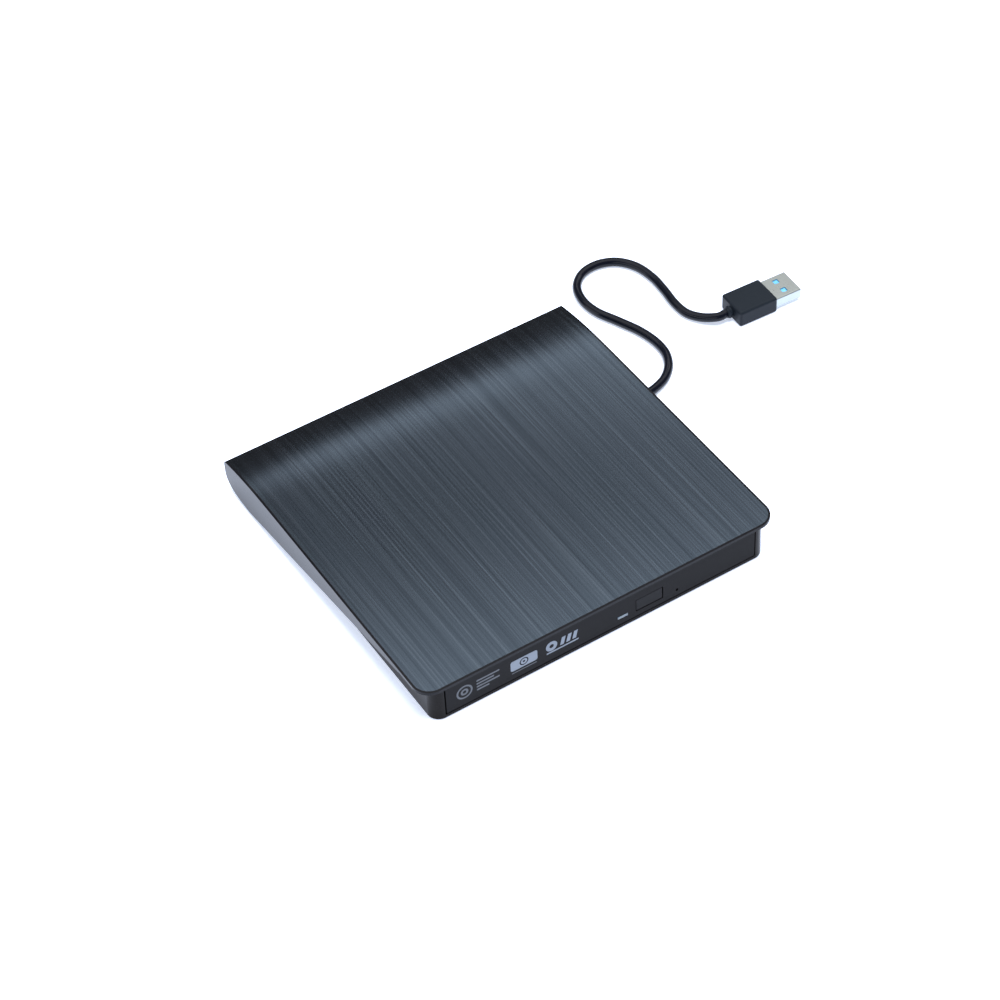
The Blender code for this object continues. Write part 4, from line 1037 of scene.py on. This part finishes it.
def carried_over():
    """Gives the CAD pieces that are shown as they are their materials."""
    for node, surface in CARRIED_OVER.items():
        slots = NODES[node].data.materials
        slots.clear()
        slots.append(surface)


# ------------------------------------------------------------------ floor and light
FLOOR_REACH = 4.0                  # metres from the middle to an edge
FLOOR_TONES = ((0.66, 0.73, 0.89), (0.68, 0.75, 0.91))
FLOOR_GLOW = (0.78, 0.85, 1.0, 1)
FLOOR_GLOW_STRENGTH = 0.6
WORLD_COLOR = (1.0, 0.90, 0.86, 1)
WORLD_STRENGTH = 0.15
SUN_STRENGTH = 4.3
SUN_ANGLE = math.radians(32)
SUN_SIDE = Vector((0.06, -0.10, 1.0))


def floor():
    ground = object_of(bpy.data.meshes.new("floor"), "floor")
    work = bmesh.new()
    bmesh.ops.create_grid(work, x_segments=2, y_segments=2, size=FLOOR_REACH)
    work.to_mesh(ground.data)
    work.free()
    nodes = Nodes("floor_pale")
    tones = [(0.3, FLOOR_TONES[0]), (0.7, FLOOR_TONES[1])]
    nodes.link(nodes.ramp(nodes.noise((0.02, 0.02, 0.02)), tones), nodes.shader.inputs["Base Color"])
    nodes.shader.inputs["Emission Color"].default_value = FLOOR_GLOW
    nodes.shader.inputs["Emission Strength"].default_value = FLOOR_GLOW_STRENGTH
    ground.data.materials.append(nodes.settle(specular=0.1))


def soft_box(name, size, distance, azimuth, elevation, radiance, roll=0.0):
    """A rectangular light that faces the object, with its own radiance."""
    data = bpy.data.lights.new(name, "AREA")
    data.shape = "RECTANGLE"
    data.size, data.size_y = size
    data.energy = radiance * math.pi * size[0] * size[1]
    lamp = object_of(data, name)
    a = math.radians(azimuth)
    e = math.radians(elevation)
    away = Vector((math.sin(a) * math.cos(e), -math.cos(a) * math.cos(e), math.sin(e)))
    lamp.location = away * distance
    turn = away.to_track_quat("Z", "Y") @ Quaternion((0, 0, 1), math.radians(roll))
    lamp.rotation_euler = turn.to_euler()


def light():
    world = bpy.data.worlds.new("studio")
    world.use_nodes = True
    background = world.node_tree.nodes["Background"]
    background.inputs["Color"].default_value = WORLD_COLOR
    background.inputs["Strength"].default_value = WORLD_STRENGTH
    bpy.context.scene.world = world
    soft_box("top_box", (2.6, 1.5), distance=1.5, azimuth=150, elevation=77, radiance=1.60, roll=12)
    soft_box("low_strip", (1.5, 0.14), distance=1.5, azimuth=129, elevation=39, radiance=2.2, roll=10)
    soft_box("left_fill", (2.4, 0.8), distance=1.2, azimuth=-80, elevation=22, radiance=1.8)
    sun = bpy.data.lights.new("high_sun", "SUN")
    sun.energy = SUN_STRENGTH
    sun.angle = SUN_ANGLE
    lamp = object_of(sun, "high_sun")
    lamp.rotation_euler = SUN_SIDE.to_track_quat("Z", "Y").to_euler()
    lamp.visible_glossy = False    # keeps the sun's disc out of the film
    bpy.context.scene.view_settings.view_transform = "Standard"


# ------------------------------------------------------------------ the whole
camera()
lead, lead_length, lead_exit = cord()
relief_piece = strain_relief()
overmold_piece = overmold()
shell_piece = shell()
insulator_piece, contact_piece = tongue()
cover()
lower_case()
feet()
case_screws()
bezel()
printed_marks()
tray()
tray_electrics()
plunger_and_spring()
spindle()
rods_and_screw()
pickup()
grommets()
board_parts()
carried_over()
floor()
light()
